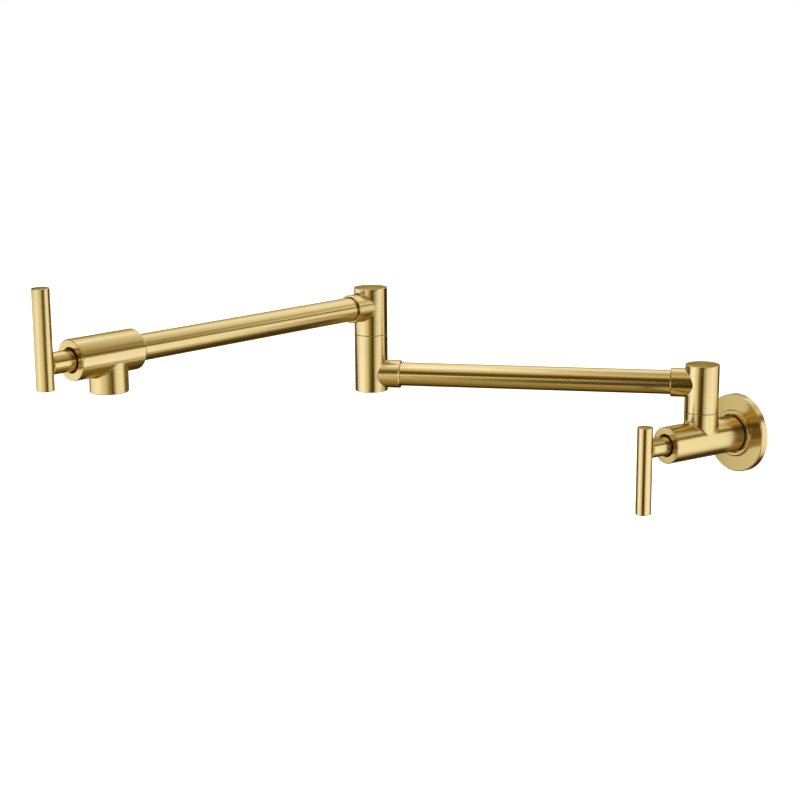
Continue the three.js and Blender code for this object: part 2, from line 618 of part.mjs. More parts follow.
// Centres of the insert's holes: one in the middle and two hexagonal rings round it.
function insertHoles() {
  const rowPitch = INSERT_HOLE_PITCH * Math.sqrt(3) / 2;
  const holes = [];
  for (let row = -2; row <= 2; row += 1) {
    for (let place = -2; place <= 2; place += 1) {
      if (Math.abs(place + row) <= 2) holes.push([(place + row / 2) * INSERT_HOLE_PITCH, row * rowPitch]);
    }
  }
  return holes;
}

// ---------------------------------------------------------------- assembly

const potFiller = new THREE.Group();

// Frame at a place inside its parent, turned by angles about X, Y and Z.
function frame(parent, position, turnX = 0, turnY = 0, turnZ = 0) {
  const group = new THREE.Group();
  group.position.set(...position);
  group.rotation.set(turnX, turnY, turnZ);
  parent.add(group);
  return group;
}

const wall = frame(potFiller, [0, 0, 0], QUARTER);
addFlange(wall);
const wallValve = frame(wall, [0, 0, WALL_FACE]);
addWallValveBody(wallValve);
addCartridge(wallValve, 'wall');
addHandle(wallValve, 'wall', -1);

const wallPost = frame(potFiller, [0, -POST_DISTANCE, WALL_SEAM]);
addSpigot(wallPost, 'wall_swivel');

const lowerArmTurn = THREE.MathUtils.degToRad(180 + LOWER_ARM_ANGLE);
const lowerArm = frame(potFiller, [0, -POST_DISTANCE, 0], 0, 0, lowerArmTurn);
addUpperHousing(frame(lowerArm, [0, 0, WALL_SEAM]), 'wall_swivel_housing', 'wall_swivel_screw');
addTube(lowerArm, 'lower_tube', TUBE_STOP, ARM_LENGTH - TUBE_STOP, LOWER_ARM_HEIGHT);
const elbow = frame(lowerArm, [ARM_LENGTH, 0, ELBOW_SEAM]);
addLowerHousing(elbow, 'elbow_lower_housing');
addSpigot(elbow, 'elbow_swivel');

const upperArm = frame(lowerArm, [ARM_LENGTH, 0, 0], 0, 0, THREE.MathUtils.degToRad(ELBOW_ANGLE));
addUpperHousing(frame(upperArm, [0, 0, ELBOW_SEAM]), 'elbow_upper_housing', 'elbow_screw');
addTube(upperArm, 'upper_tube', TUBE_STOP, SPOUT_FACE - SPOUT_LENGTH + SPOUT_TUBE_SEAT, UPPER_ARM_HEIGHT);
const spoutValve = frame(upperArm, [SPOUT_FACE, 0, UPPER_ARM_HEIGHT], QUARTER, QUARTER);
addSpoutBody(spoutValve);
addCartridge(spoutValve, 'spout');
addHandle(spoutValve, 'spout', 1);
addAerator(frame(upperArm, [ARM_LENGTH, 0, UPPER_ARM_HEIGHT - OUTLET_DROP]));

export default potFiller;
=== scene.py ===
"""Wall mounted pot filler in brushed gold: its visible pieces, finishes, studio and camera.

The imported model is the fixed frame. Pieces are built in millimetres in the local frame of
what carries them (a valve, a post, an arm) and then placed in the row frame in metres.
"""

import json
import logging
import math
from dataclasses import dataclass
from enum import Enum
from typing import Callable

import bmesh
import bpy
from mathutils import Matrix, Vector


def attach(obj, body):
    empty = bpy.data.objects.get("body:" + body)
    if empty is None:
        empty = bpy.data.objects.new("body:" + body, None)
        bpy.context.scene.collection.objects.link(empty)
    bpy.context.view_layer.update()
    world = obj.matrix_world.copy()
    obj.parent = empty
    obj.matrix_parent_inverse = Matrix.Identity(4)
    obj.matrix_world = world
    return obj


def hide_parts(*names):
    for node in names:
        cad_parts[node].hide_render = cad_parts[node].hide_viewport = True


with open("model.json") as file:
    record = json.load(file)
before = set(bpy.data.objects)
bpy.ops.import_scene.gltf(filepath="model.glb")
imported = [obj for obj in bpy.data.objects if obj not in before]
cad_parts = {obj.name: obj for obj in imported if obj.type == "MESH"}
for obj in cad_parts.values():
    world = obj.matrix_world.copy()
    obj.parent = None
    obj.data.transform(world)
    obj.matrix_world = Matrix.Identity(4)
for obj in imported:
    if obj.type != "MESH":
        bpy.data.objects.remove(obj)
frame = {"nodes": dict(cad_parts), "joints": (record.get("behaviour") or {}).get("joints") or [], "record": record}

log = logging.getLogger("pot_filler")

Shape = bmesh.types.BMesh
Edge = bmesh.types.BMEdge
Vert = bmesh.types.BMVert
Material = bpy.types.Material
Socket = bpy.types.NodeSocket
Colour = tuple[float, float, float]
Corner = tuple[float, ...]
Spot = tuple[float, float, float]

MM = 0.001
UP = Vector((0.0, 0.0, 1.0))
SIDEWAYS = Vector((1.0, 0.0, 0.0))
OUT_OF_WALL = Vector((0.0, -1.0, 0.0))

# faces round a turned shape
SIDES = 96
FINE_SIDES = 128
SMALL_SIDES = 32
# small edges in millimetres: the size and the number of steps
EASED = (0.3, 2)
BROKEN = (0.3, 1)
ROUNDED = (0.4, 3)
# points nearer than MERGE become one, and a cutter stands CLEAR out of what it opens
MERGE = 1e-4
CLEAR = 2.0
# faces that meet at more than this angle keep a sharp edge
SHARP_FROM = math.radians(32.0)
# what a Tee notes on the points of its rim
NOTES = ("around", "turn", "rise")


# ------------------------------------------------------------------ places


@dataclass(frozen=True)
class Place:
    """A local frame for work in millimetres: its origin in metres and two of its axes."""

    origin: Vector
    z: Vector
    x: Vector

    @property
    def turn(self) -> Matrix:
        """The rotation from the local axes to the row frame's.

        Returns:
            The three axes as columns.
        """
        z = self.z.normalized()
        x = (self.x - z * self.x.dot(z)).normalized()
        return Matrix((x, z.cross(x), z)).transposed()

    @property
    def matrix(self) -> Matrix:
        """The change from local millimetres to the row frame's metres."""
        return Matrix.Translation(self.origin) @ self.turn.to_4x4() @ Matrix.Scale(MM, 4)

    def point(self, x: float, y: float, z: float) -> Vector:
        """A local point in millimetres, in the row frame's metres."""
        return self.matrix @ Vector((x, y, z))

    def shifted(self, x: float, y: float, z: float) -> "Place":
        """The same axes, with the origin moved by local millimetres."""
        return Place(self.point(x, y, z), self.z, self.x)

    def along_x(self) -> "Place":
        """The same origin, with the z axis laid along this frame's x axis."""
        return Place(self.origin, self.x, self.z)


@dataclass(frozen=True)
class Layout:
    """Where the fitting's valves, posts and arms are, read from the record's joints."""

    wall_post: Vector
    elbow: Vector
    wall_lever: Vector
    spout_lever: Vector
    spout_axis: Vector
    bar_standoff: float = 22.2
    arm_rise: float = 23.9
    elbow_drop: float = 34.4
    arm_length: float = 278.0

    @classmethod
    def read(cls, joints: list[dict]) -> "Layout":
        """Reads the joints' places and axes.

        Args:
            joints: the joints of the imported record.

        Returns:
            The layout of the fitting.
        """
        found = {joint["name"]: joint for joint in joints}
        names = ("wall_swivel", "elbow_swivel", "wall_handle_turn", "spout_handle_turn")
        places = (Vector(found[name]["pos_m"]) for name in names)
        return cls(*places, Vector(found["spout_handle_turn"]["axis"]).normalized())

    @property
    def lower_arm_way(self) -> Vector:
        """The lower arm's level direction, from the wall post to the elbow."""
        way = self.elbow - self.wall_post
        return Vector((way.x, way.y, 0.0)).normalized()

    def wall_face(self) -> Place:
        """The wall valve's front face, with x towards the long end of its lever."""
        return Place(self.wall_lever - OUT_OF_WALL * self.bar_standoff * MM, OUT_OF_WALL, -UP)

    def spout_face(self) -> Place:
        """The spout valve's front face, with x towards the long end of its lever."""
        return Place(self.spout_lever - self.spout_axis * self.bar_standoff * MM, self.spout_axis, UP)

    def wall_tee(self) -> Place:
        """Where the wall valve's axis crosses its post, with x up."""
        crossing = Vector((self.wall_post.x, self.wall_post.y, self.wall_lever.z))
        return Place(crossing, OUT_OF_WALL, UP)

    def wall_swivel(self) -> Place:
        """The seam of the wall post, with x along the lower arm."""
        return Place(self.wall_post, UP, self.lower_arm_way)

    def elbow_swivel_below(self) -> Place:
        """The seam of the elbow, with x along the lower arm."""
        return Place(self.elbow, UP, self.lower_arm_way)

    def elbow_swivel_above(self) -> Place:
        """The seam of the elbow, with x along the upper arm."""
        return Place(self.elbow, UP, self.spout_axis)

    def lower_arm_start(self) -> Place:
        """Where the lower arm's axis crosses the wall post, with x along the arm."""
        return self.wall_swivel().shifted(0, 0, self.arm_rise)

    def lower_arm_end(self) -> Place:
        """Where the lower arm's axis crosses the elbow, with x back along the arm."""
        below = self.elbow_swivel_below().shifted(0, 0, -self.elbow_drop)
        return Place(below.origin, UP, -below.x)

    def upper_arm_start(self) -> Place:
        """Where the upper arm's axis crosses the elbow, with x along the arm."""
        return self.elbow_swivel_above().shifted(0, 0, self.arm_rise)

    def spout_tee(self) -> Place:
        """Where the spout valve's axis crosses the outlet, with x down."""
        return Place(self.upper_arm_start().point(self.arm_length, 0, 0), self.spout_axis, -UP)

    def outlet_mouth(self, drop: float) -> Place:
        """The centre of the outlet's mouth, so many millimetres under the arm's axis, z up."""
        return Place(self.spout_tee().point(drop, 0, 0), UP, self.spout_axis)


# ------------------------------------------------------------------ shaping


def outline(corners: list[Corner], closed: bool) -> Shape:
    """Draws the outline of a turned piece, with rounded or chamfered corners.

    Args:
        corners: radius and height of each corner, then the size of its rounding and the
            number of its steps (1 makes a chamfer), in millimetres.
        closed: whether the last corner joins the first, as on a ring.

    Returns:
        A mesh of edges in the local plane y = 0.
    """
    bm = bmesh.new()
    verts = [bm.verts.new((corner[0], 0.0, corner[1])) for corner in corners]
    for pair in zip(verts, verts[1:] + verts[:1] if closed else verts[1:]):
        bm.edges.new(pair)
    for vert, corner in zip(verts, corners):
        if len(corner) > 2:
            bmesh.ops.bevel(
                bm, geom=[vert], offset=corner[2], offset_type="OFFSET", segments=int(corner[3]),
                profile=0.5, affect="VERTICES", material=-1,
            )
    return bm


def turned(corners: list[Corner], closed: bool = False, sides: int = SIDES) -> Shape:
    """Turns an outline round the local z axis, as on a lathe.

    Args:
        corners: the outline's corners, as for outline().
        closed: whether the outline is a ring's; otherwise it starts and ends on the axis.
        sides: the number of faces round the axis.

    Returns:
        A closed mesh with its faces outwards.
    """
    bm = outline(corners, closed)
    bmesh.ops.spin(
        bm, geom=bm.verts[:] + bm.edges[:], cent=(0, 0, 0), axis=(0, 0, 1), dvec=(0, 0, 0),
        angle=math.tau, steps=sides, use_merge=True, use_duplicate=False,
    )
    bmesh.ops.remove_doubles(bm, verts=bm.verts, dist=MERGE)
    bmesh.ops.recalc_face_normals(bm, faces=bm.faces)
    return bm


def ring(
    radii: tuple[float, float],
    heights: tuple[float, float],
    rounding: float,
    steps: int = 2,
    sides: int = SIDES,
) -> Shape:
    """Turns a flat ring along z, with its four corners rounded alike.

    Args:
        radii: the bore's radius and the outer one.
        heights: the heights of its bottom and top.
        rounding: the size of the rounding.
        steps: the number of the rounding's steps.
        sides: the number of faces round the axis.

    Returns:
        The ring.
    """
    (bore, radius), (bottom, top) = radii, heights
    around = ((bore, bottom), (radius, bottom), (radius, top), (bore, top))
    return turned([(*corner, rounding, steps) for corner in around], closed=True, sides=sides)


def rod(radius: float, bottom: float, top: float, sides: int = SIDES) -> Shape:
    """A plain round rod along z, used as a cutter."""
    return turned([(0, bottom), (radius, bottom), (radius, top), (0, top)], sides=sides)


def stepped(start: float, *steps: tuple[float, float], chamfer: float = 0.0) -> Shape:
    """Builds a stepped round cutter along z, from its blind end to the face that it opens.

    Args:
        start: the height of the blind end.
        steps: the radius of each step and the height where it ends, the last at the face.
        chamfer: the size of the chamfer at the face.

    Returns:
        The cutter, which stands out of the face.
    """
    radius, face = steps[-1]
    way = math.copysign(1.0, face - start)
    begins = [start, *(end for _, end in steps)]
    corners = [(wide, at) for (wide, end), begin in zip(steps, begins) for at in (begin, end)]
    corners[-1] = (radius, face - way * chamfer)
    flare = radius + chamfer + CLEAR if chamfer else radius
    outer = face + way * CLEAR
    return turned([(0, start), *(corners if chamfer else corners[:-1]), (flare, outer), (0, outer)])


def add_pin(
    bm: Shape, radius: float, bottom: float, top: float, sides: int, x: float = 0.0, y: float = 0.0
) -> None:
    """Adds an upright pin with flat sides to a shape.

    Args:
        bm: the shape.
        radius: the pin's radius to its corners.
        bottom: the height of its lower end.
        top: the height of its upper end.
        sides: the number of its sides.
        x: its place along x.
        y: its place along y.
    """
    bmesh.ops.create_cone(
        bm, cap_ends=True, segments=sides, radius1=radius, radius2=radius, depth=top - bottom,
        matrix=Matrix.Translation((x, y, (bottom + top) / 2)),
    )


def laid(bm: Shape, way: Vector, start: Vector | None = None) -> Shape:
    """Lays a shape's z axis along another local direction.

    Args:
        bm: the shape, which is changed.
        way: the local direction that its z axis takes.
        start: the local point where its origin goes.

    Returns:
        The same shape.
    """
    turn = UP.rotation_difference(way.normalized()).to_matrix().to_4x4()
    bmesh.ops.transform(bm, matrix=Matrix.Translation(start or Vector()) @ turn, verts=bm.verts)
    return bm


def new_object(name: str, bm: Shape, material: Material | None = None) -> bpy.types.Object:
    """Puts a shape in a new object, and frees the shape.

    Args:
        name: the object's name.
        bm: the shape.
        material: its material.

    Returns:
        The object, linked to the scene.
    """
    mesh = bpy.data.meshes.new(name)
    bm.to_mesh(mesh)
    bm.free()
    if material:
        mesh.materials.append(material)
    made = bpy.data.objects.new(name, mesh)
    bpy.context.scene.collection.objects.link(made)
    return made


def carved(bm: Shape, cutters: list[Shape]) -> Shape:
    """Bores or cuts shapes out of a closed body.

    Args:
        bm: the body, which is used up.
        cutters: closed shapes that are used up.

    Returns:
        The body that is left.
    """
    body, *tools = [new_object("spare", shape) for shape in (bm, *cutters)]
    for tool in tools:
        cut = body.modifiers.new("cut", "BOOLEAN")
        cut.operation = "DIFFERENCE"
        cut.solver = "EXACT"
        cut.object = tool
    left = bmesh.new()
    left.from_object(body, bpy.context.evaluated_depsgraph_get())
    for spare in (body, *tools):
        mesh = spare.data
        bpy.data.objects.remove(spare)
        bpy.data.meshes.remove(mesh)
    bmesh.ops.remove_doubles(left, verts=left.verts, dist=MERGE)
    return left


@dataclass(frozen=True)
class Tee:
    """A round body along z with a round branch along +x, blended by a fillet.

    The origin is where the two axes cross. A spot is an angle round the branch, from +y
    towards +z, then an angle and a height on the body's face.
    """

    radius: float
    bottom: float
    top: float
    branch_radius: float
    reach: float
    fillet: float
    bottom_corner: tuple[float, int]
    top_corner: tuple[float, int]
    reach_chamfer: float
    margin: float = 1.2
    rows: int = 48
    spread_steps: int = 7
    fillet_steps: int = 7
    branch_steps: int = 4

    def contact(self, around: float) -> tuple[Vector, Vector]:
        """Where the fillet's rolling ball is at an angle round the branch.

        Args:
            around: the angle.

        Returns:
            The ball's centre, and its direction towards the body's axis.
        """
        rho = self.branch_radius + self.fillet
        far = self.radius + self.fillet
        side = rho * math.cos(around)
        centre = Vector((math.sqrt(far * far - side * side), side, rho * math.sin(around)))
        return centre, -Vector((centre.x, centre.y, 0.0)).normalized()

    def round_branch(self, x: float, radius: float, around: float) -> Vector:
        """A point on a circle round the branch's axis."""
        return Vector((x, radius * math.cos(around), radius * math.sin(around)))

    def spread(self, spot: Spot, share: float) -> Vector:
        """A point on the body between the window's rim and the fillet's edge.

        Args:
            spot: the spot on the rim.
            share: how far it is on its way from the rim, up to 1.

        Returns:
            The point.
        """
        around, turn, rise = spot
        centre, _ = self.contact(around)
        turn += (math.atan2(centre.y, centre.x) - turn) * share
        rise += (centre.z - rise) * share
        return Vector((self.radius * math.cos(turn), self.radius * math.sin(turn), rise))

    def curve(self, spot: Spot, share: float) -> Vector:
        """A point on the fillet, by its share of the way from the body to the branch."""
        centre, start = self.contact(spot[0])
        return centre + start.slerp(-self.round_branch(0.0, 1.0, spot[0]), share) * self.fillet

    def straight(self, spot: Spot, share: float) -> Vector:
        """A point on the branch's round face, by its share of the way along it."""
        start, end = self.contact(spot[0])[0].x, self.reach - self.reach_chamfer
        return self.round_branch(start + (end - start) * share, self.branch_radius, spot[0])

    def rim_corner(self, spot: Spot, _: float) -> Vector:
        """A point on the branch's end face, inside the chamfer."""
        return self.round_branch(self.reach, self.branch_radius - self.reach_chamfer, spot[0])

    def grown(
        self, bm: Shape, rim: list[Edge], where: Callable[[Spot, float], Vector], steps: int
    ) -> list[Edge]:
        """Extrudes an open rim by rows of faces.

        Args:
            bm: the mesh.
            rim: the open rim.
            where: gives a point from its spot and its share of the way.
            steps: the number of rows.

        Returns:
            The new open rim.
        """
        layers = [bm.verts.layers.float[name] for name in NOTES]
        for step in range(1, steps + 1):
            made = bmesh.ops.extrude_edge_only(bm, edges=rim)["geom"]
            for vert in (item for item in made if isinstance(item, Vert)):
                vert.co = where(tuple(vert[layer] for layer in layers), step / steps)
            rim = [item for item in made if isinstance(item, Edge) and item.is_boundary]
        return rim

    def window(self, bm: Shape, zone: float) -> list[Edge]:
        """Opens the side of the body that faces the branch.

        Args:
            bm: the turned body.
            zone: half the height of the window.

        Returns:
            The window's rim, whose points note their spots.
        """
        middles = {face: face.calc_center_median() for face in bm.faces}
        facing = [face for face, m in middles.items() if m.x > 0 and abs(m.z) < zone]
        bmesh.ops.delete(bm, geom=facing, context="FACES")
        rim = [edge for edge in bm.edges if edge.is_boundary]
        layers = [bm.verts.layers.float.new(name) for name in NOTES]
        # each side of the window takes a quarter of the turn round the branch
        for vert in {vert for edge in rim for vert in edge.verts}:
            turn = math.atan2(vert.co.y, vert.co.x)
            across = max(-1.0, min(1.0, turn / (math.pi / 2)))
            along = max(-1.0, min(1.0, vert.co.z / zone))
            if abs(across) > abs(along):
                eighths = along if across > 0 else 4.0 - along
            else:
                eighths = 2.0 - across if along > 0 else 6.0 + across
            for layer, value in zip(layers, (eighths * math.pi / 4, turn, vert.co.z)):
                vert[layer] = value
        return rim

    def solid(self) -> Shape:
        """Builds the solid tee, before it is bored.

        Returns:
            A closed mesh with its faces outwards.
        """
        zone = self.branch_radius + self.fillet + self.margin
        rows = [(self.radius, zone * (2 * row / self.rows - 1)) for row in range(self.rows + 1)]
        bm = turned([
            (0, self.bottom), (self.radius, self.bottom, *self.bottom_corner), *rows,
            (self.radius, self.top, *self.top_corner), (0, self.top),
        ])
        rim = self.window(bm, zone)
        for where, steps in (
            (self.spread, self.spread_steps), (self.curve, self.fillet_steps),
            (self.straight, self.branch_steps), (self.rim_corner, 1),
        ):
            rim = self.grown(bm, rim, where, steps)
        bmesh.ops.holes_fill(bm, edges=rim, sides=0)
        for name in NOTES:
            bm.verts.layers.float.remove(bm.verts.layers.float[name])
        bmesh.ops.recalc_face_normals(bm, faces=bm.faces)
        return bm


# ------------------------------------------------------------------ finishes


class Graph:
    """Lays out the nodes of a material or of the surroundings."""

    def __init__(self, owner: Material | bpy.types.World, output: str = "OutputMaterial") -> None:
        """Clears the owner's nodes and adds an output.

        Args:
            owner: the material or the world.
            output: the kind of its output node.
        """
        owner.use_nodes = True
        self.tree = owner.node_tree
        self.tree.nodes.clear()
        self.output = self.node(output)

    def node(self, kind: str, *values: object, **settings: object) -> bpy.types.Node:
        """Adds a node.

        Args:
            kind: the shader node's kind.
            values: a link or a plain value for each of its first inputs, or None to pass one by.
            settings: its own properties.

        Returns:
            The node.
        """
        node = self.tree.nodes.new(f"ShaderNode{kind}")
        for key, value in settings.items():
            setattr(node, key, value)
        for target, value in zip(node.inputs, values):
            if isinstance(value, Socket):
                self.link(value, target)
            elif value is not None:
                target.default_value = value
        return node

    def link(self, source: Socket, target: Socket) -> None:
        """Joins an output to an input."""
        self.tree.links.new(source, target)

    def show(self, shader: bpy.types.Node) -> None:
        """Joins the last shader to the output."""
        self.link(shader.outputs[0], self.output.inputs["Surface"])

    def math(self, operation: str, a: object, b: object) -> Socket:
        """The result of an operation on two numbers."""
        return self.node("Math", a, b, operation=operation).outputs[0]

    def vector(self, operation: str, a: object, b: object) -> Socket:
        """The result of an operation on two vectors."""
        return self.node("VectorMath", a, b, operation=operation).outputs["Vector"]

    def noise(self, place: Socket, detail: float, w: Socket | None = None) -> Socket:
        """Noise of about one unit's grain, in three dimensions, or four with w."""
        kind = "3D" if w is None else "4D"
        return self.node("TexNoise", place, w, 1.0, detail, noise_dimensions=kind).outputs["Fac"]

    def between(self, share: Socket, low: float, high: float) -> Socket:
        """A number between two, by a share."""
        return self.node("MapRange", share, 0.0, 1.0, low, high).outputs["Result"]

    def blend(self, share: Socket, low: Colour, high: Colour) -> Socket:
        """Mixes two colours.

        Args:
            share: the share of the second colour.
            low: the first colour.
            high: the second colour.

        Returns:
            The colour.
        """
        node = self.node("Mix", share, data_type="RGBA")
        node.inputs["A"].default_value = (*low, 1.0)
        node.inputs["B"].default_value = (*high, 1.0)
        return node.outputs["Result"]

    def seen(self) -> Socket:
        """Tells what the camera sees, straight or in metal or glass, from what only lights.

        Returns:
            1 where it is seen, or else 0.
        """
        rays = self.node("LightPath").outputs
        straight = self.math("ADD", rays["Is Camera Ray"], rays["Is Glossy Ray"])
        return self.math("MINIMUM", self.math("ADD", straight, rays["Is Transmission Ray"]), 1.0)

    def local_place(self, place: Place) -> tuple[Socket, Socket, Socket]:
        """The surface's place in a local frame.

        Args:
            place: the local frame.

        Returns:
            The place in the row frame in metres, the local place in millimetres, and the
            surface's direction in the row frame.
        """
        coords = self.node("TexCoord").outputs
        frame_of_piece = (place.origin, place.turn.to_euler(), (MM, MM, MM))
        local = self.node("Mapping", coords["Object"], *frame_of_piece, vector_type="TEXTURE")
        return coords["Object"], local.outputs[0], coords["Normal"]


@dataclass(frozen=True)
class Finish:
    """What the finishes share. A finish's name also names its material. A finish is named after the record's
    material slot.

    The colour strays by a share either way, the roughness is less by the swing where the
    gloss pattern is 1, and the relief is the strength of a bump with a depth in metres.
    """

    name: str
    colour: Colour
    roughness: float
    stray: float
    relief: float
    swing: float = 0.05
    relief_depth: float = 0.00003

    def shader(self, graph: Graph, tone: Socket, gloss: Socket, height: Socket) -> bpy.types.Node:
        """Makes the shader, with its colour, roughness and relief.

        Args:
            graph: the material's nodes.
            tone: the pattern of the colour, from 0, dark, to 1, pale.
            gloss: the pattern of the roughness.
            height: the pattern of the relief.

        Returns:
            The shader, joined to the output.
        """
        levels = (1.0 - self.stray, 1.0 + self.stray)
        low, high = (tuple(min(1.0, level * c) for c in self.colour) for level in levels)
        shader = graph.node("BsdfPrincipled")
        graph.link(graph.blend(tone, low, high), shader.inputs["Base Color"])
        rough = graph.between(gloss, self.roughness + self.swing, self.roughness - self.swing)
        graph.link(rough, shader.inputs["Roughness"])
        bump = graph.node("Bump")
        bump.inputs["Strength"].default_value = self.relief
        bump.inputs["Distance"].default_value = self.relief_depth
        graph.link(height, bump.inputs["Height"])
        graph.link(bump.outputs[0], shader.inputs["Normal"])
        graph.show(shader)
        return shader


class Grain(Enum):
    """Which way a metal's streaks run."""

    ROUND = "round the piece's axis, as turned or polished on a lathe"
    ALONG = "along the piece's axis, as drawn or linished"


@dataclass(frozen=True)
class Streaks:
    """A layer of streaks: how many to the millimetre, how often each changes, and its detail."""

    pitch: float
    change: float
    detail: float


@dataclass(frozen=True)
class Metal(Finish):
    """A metal with fine streaks left by turning or brushing.

    Whatever the grain, the metal blurs a reflection more along the piece's axis than round
    it, so that the lines that a round face shows along its length stay crisp.
    """

    blur_ratio: float = 0.4
    fine: Streaks = Streaks(5.0, 2.5, 2.0)
    broad: Streaks = Streaks(0.8, 1.3, 3.0)
    fine_share: float = 0.4
    drawn_out: float = 20.0
    edge: Colour = (0.45, 0.38, 0.22)
    core: float = 0.01

    def material(self, place: Place, grain: Grain = Grain.ROUND) -> Material:
        """Makes the material for a piece whose axis is a frame's z axis.

        Args:
            place: the local frame of the piece.
            grain: which way the streaks run.

        Returns:
            The material.
        """
        material = bpy.data.materials.new(self.name)
        graph = Graph(material)
        here, local, facing = graph.local_place(place)
        flat = graph.vector("MULTIPLY", local, (1.0, 1.0, 0.0))
        radius = graph.node("VectorMath", flat, operation="LENGTH").outputs["Value"]
        x, y, z = graph.node("SeparateXYZ", local).outputs
        off_axis = graph.math("MAXIMUM", radius, self.core)
        sides = (graph.math("DIVIDE", side, off_axis) for side in (x, y))
        around = graph.node("CombineXYZ", *sides, z).outputs[0]

        def streaked(layer: Streaks) -> Socket:
            """Makes noise that is drawn out along the grain.

            Args:
                layer: the layer of streaks.

            Returns:
                The noise.
            """
            if grain is Grain.ALONG:
                size = (layer.pitch, layer.pitch, layer.change / self.drawn_out)
                return graph.noise(graph.vector("MULTIPLY", local, size), layer.detail)
            spot = graph.vector("MULTIPLY", around, (layer.change, layer.change, layer.pitch))
            return graph.noise(spot, layer.detail, graph.math("MULTIPLY", radius, layer.pitch))

        fine = streaked(self.fine)
        broad = graph.math("MULTIPLY", streaked(self.broad), 1.0 - self.fine_share)
        mixed = graph.math("ADD", graph.math("MULTIPLY", fine, self.fine_share), broad)
        shader = self.shader(graph, mixed, mixed, fine)
        shader.inputs["Metallic"].default_value = 1.0
        shader.inputs["Anisotropic"].default_value = self.blur_ratio
        shader.inputs["Specular Tint"].default_value = (*self.edge, 1.0)

        axis, origin = tuple(place.z.normalized()), tuple(place.origin)
        round_axis = graph.vector("CROSS_PRODUCT", axis, graph.vector("SUBTRACT", here, origin))
        blurred_way = graph.node(
            "VectorTransform", graph.vector("CROSS_PRODUCT", facing, round_axis),
            vector_type="VECTOR", convert_from="OBJECT", convert_to="WORLD",
        )
        graph.link(blurred_way.outputs[0], shader.inputs["Tangent"])
        return material


@dataclass(frozen=True)
class Moulded(Finish):
    """A moulded or fired material with a faint grain and mottling, such as rubber or plastic."""

    swing: float = -0.06
    relief_depth: float = 0.00005
    grain: float = 6.0
    mottling: float = 0.35

    def material(self, place: Place) -> Material:
        """Makes the material for a piece in a local frame.

        Args:
            place: the local frame of the piece.

        Returns:
            The material.
        """
        material = bpy.data.materials.new(self.name)
        graph = Graph(material)
        _, local, _ = graph.local_place(place)
        fine = graph.noise(graph.vector("MULTIPLY", local, (self.grain,) * 3), 3.0)
        broad = graph.noise(graph.vector("MULTIPLY", local, (self.mottling,) * 3), 2.0)
        mixed = graph.math("MULTIPLY", graph.math("ADD", fine, broad), 0.5)
        self.shader(graph, mixed, fine, fine)
        return material


GOLD = Metal("brushed_gold", (0.86, 0.68, 0.32), 0.2, stray=0.05, relief=0.05, blur_ratio=0.65)
BRASS = Metal(
    "plain_brass", (0.70, 0.50, 0.20), 0.38, stray=0.08, relief=0.25, fine=Streaks(3.0, 2.5, 2.0),
)
STEEL = Metal(
    "steel", (0.55, 0.55, 0.56), 0.34, stray=0.06, relief=0.2, fine=Streaks(4.0, 2.5, 2.0),
    edge=(0.6, 0.6, 0.6),
)
RUBBER = Moulded("black_rubber", (0.012, 0.012, 0.013), 0.62, stray=0.2, relief=0.3)
PLASTIC = Moulded("white_plastic", (0.80, 0.78, 0.72), 0.42, stray=0.03, relief=0.12, grain=4.0)
CERAMIC = Moulded("white_ceramic", (0.88, 0.86, 0.80), 0.18, stray=0.02, relief=0.04, grain=8.0)


# ------------------------------------------------------------------ workshop


class Workshop:
    """Turns finished shapes into pieces of the fitting and reports each one."""

    def __init__(self, nodes: dict[str, bpy.types.Object], bodies: dict[str, list[str]]) -> None:
        """Takes the frame's nodes and the record's bodies.

        Args:
            nodes: the object of each CAD node.
            bodies: the names of the nodes on each body.
        """
        self.nodes = nodes
        self.body_of = {node: body for body, names in bodies.items() for node in names}

    def add(
        self, node: str, bm: Shape, place: Place, finish: Finish, material: Material | None = None
    ) -> None:
        """Makes a shape into a piece that stands for a CAD node.

        Args:
            node: the CAD node that the piece replaces and is named after.
            bm: the shape in local millimetres, which is used up.
            place: the local frame.
            finish: its finish, which names its material.
            material: the finish's material, where its grain doesn't run round the frame's z.
        """
        bmesh.ops.transform(bm, matrix=place.matrix, verts=bm.verts)
        piece = new_object(f"{node}_dressed", bm, material or finish.material(place))
        piece.data.shade_smooth()
        piece.data.set_sharp_from_angle(angle=SHARP_FROM)
        piece.modifiers.new("even_shading", "WEIGHTED_NORMAL").keep_sharp = True
        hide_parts(node)
        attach(piece, self.body_of[node])
        log.info("%s: %d faces, on %s", piece.name, len(piece.data.polygons), self.body_of[node])

    def carry_over(self, node: str, material: Material) -> None:
        """Dresses a CAD node that keeps its own shape.

        Args:
            node: the CAD node.
            material: its finish.
        """
        mesh = self.nodes[node].data
        mesh.materials.clear()
        mesh.materials.append(material)
        log.info("%s: carried over in %s", node, material.name)


# ------------------------------------------------------------------ sub-assemblies


@dataclass(frozen=True)
class SubAssembly:
    """Pieces that are built in one local frame, with their sizes in millimetres."""

    shop: Workshop
    place: Place


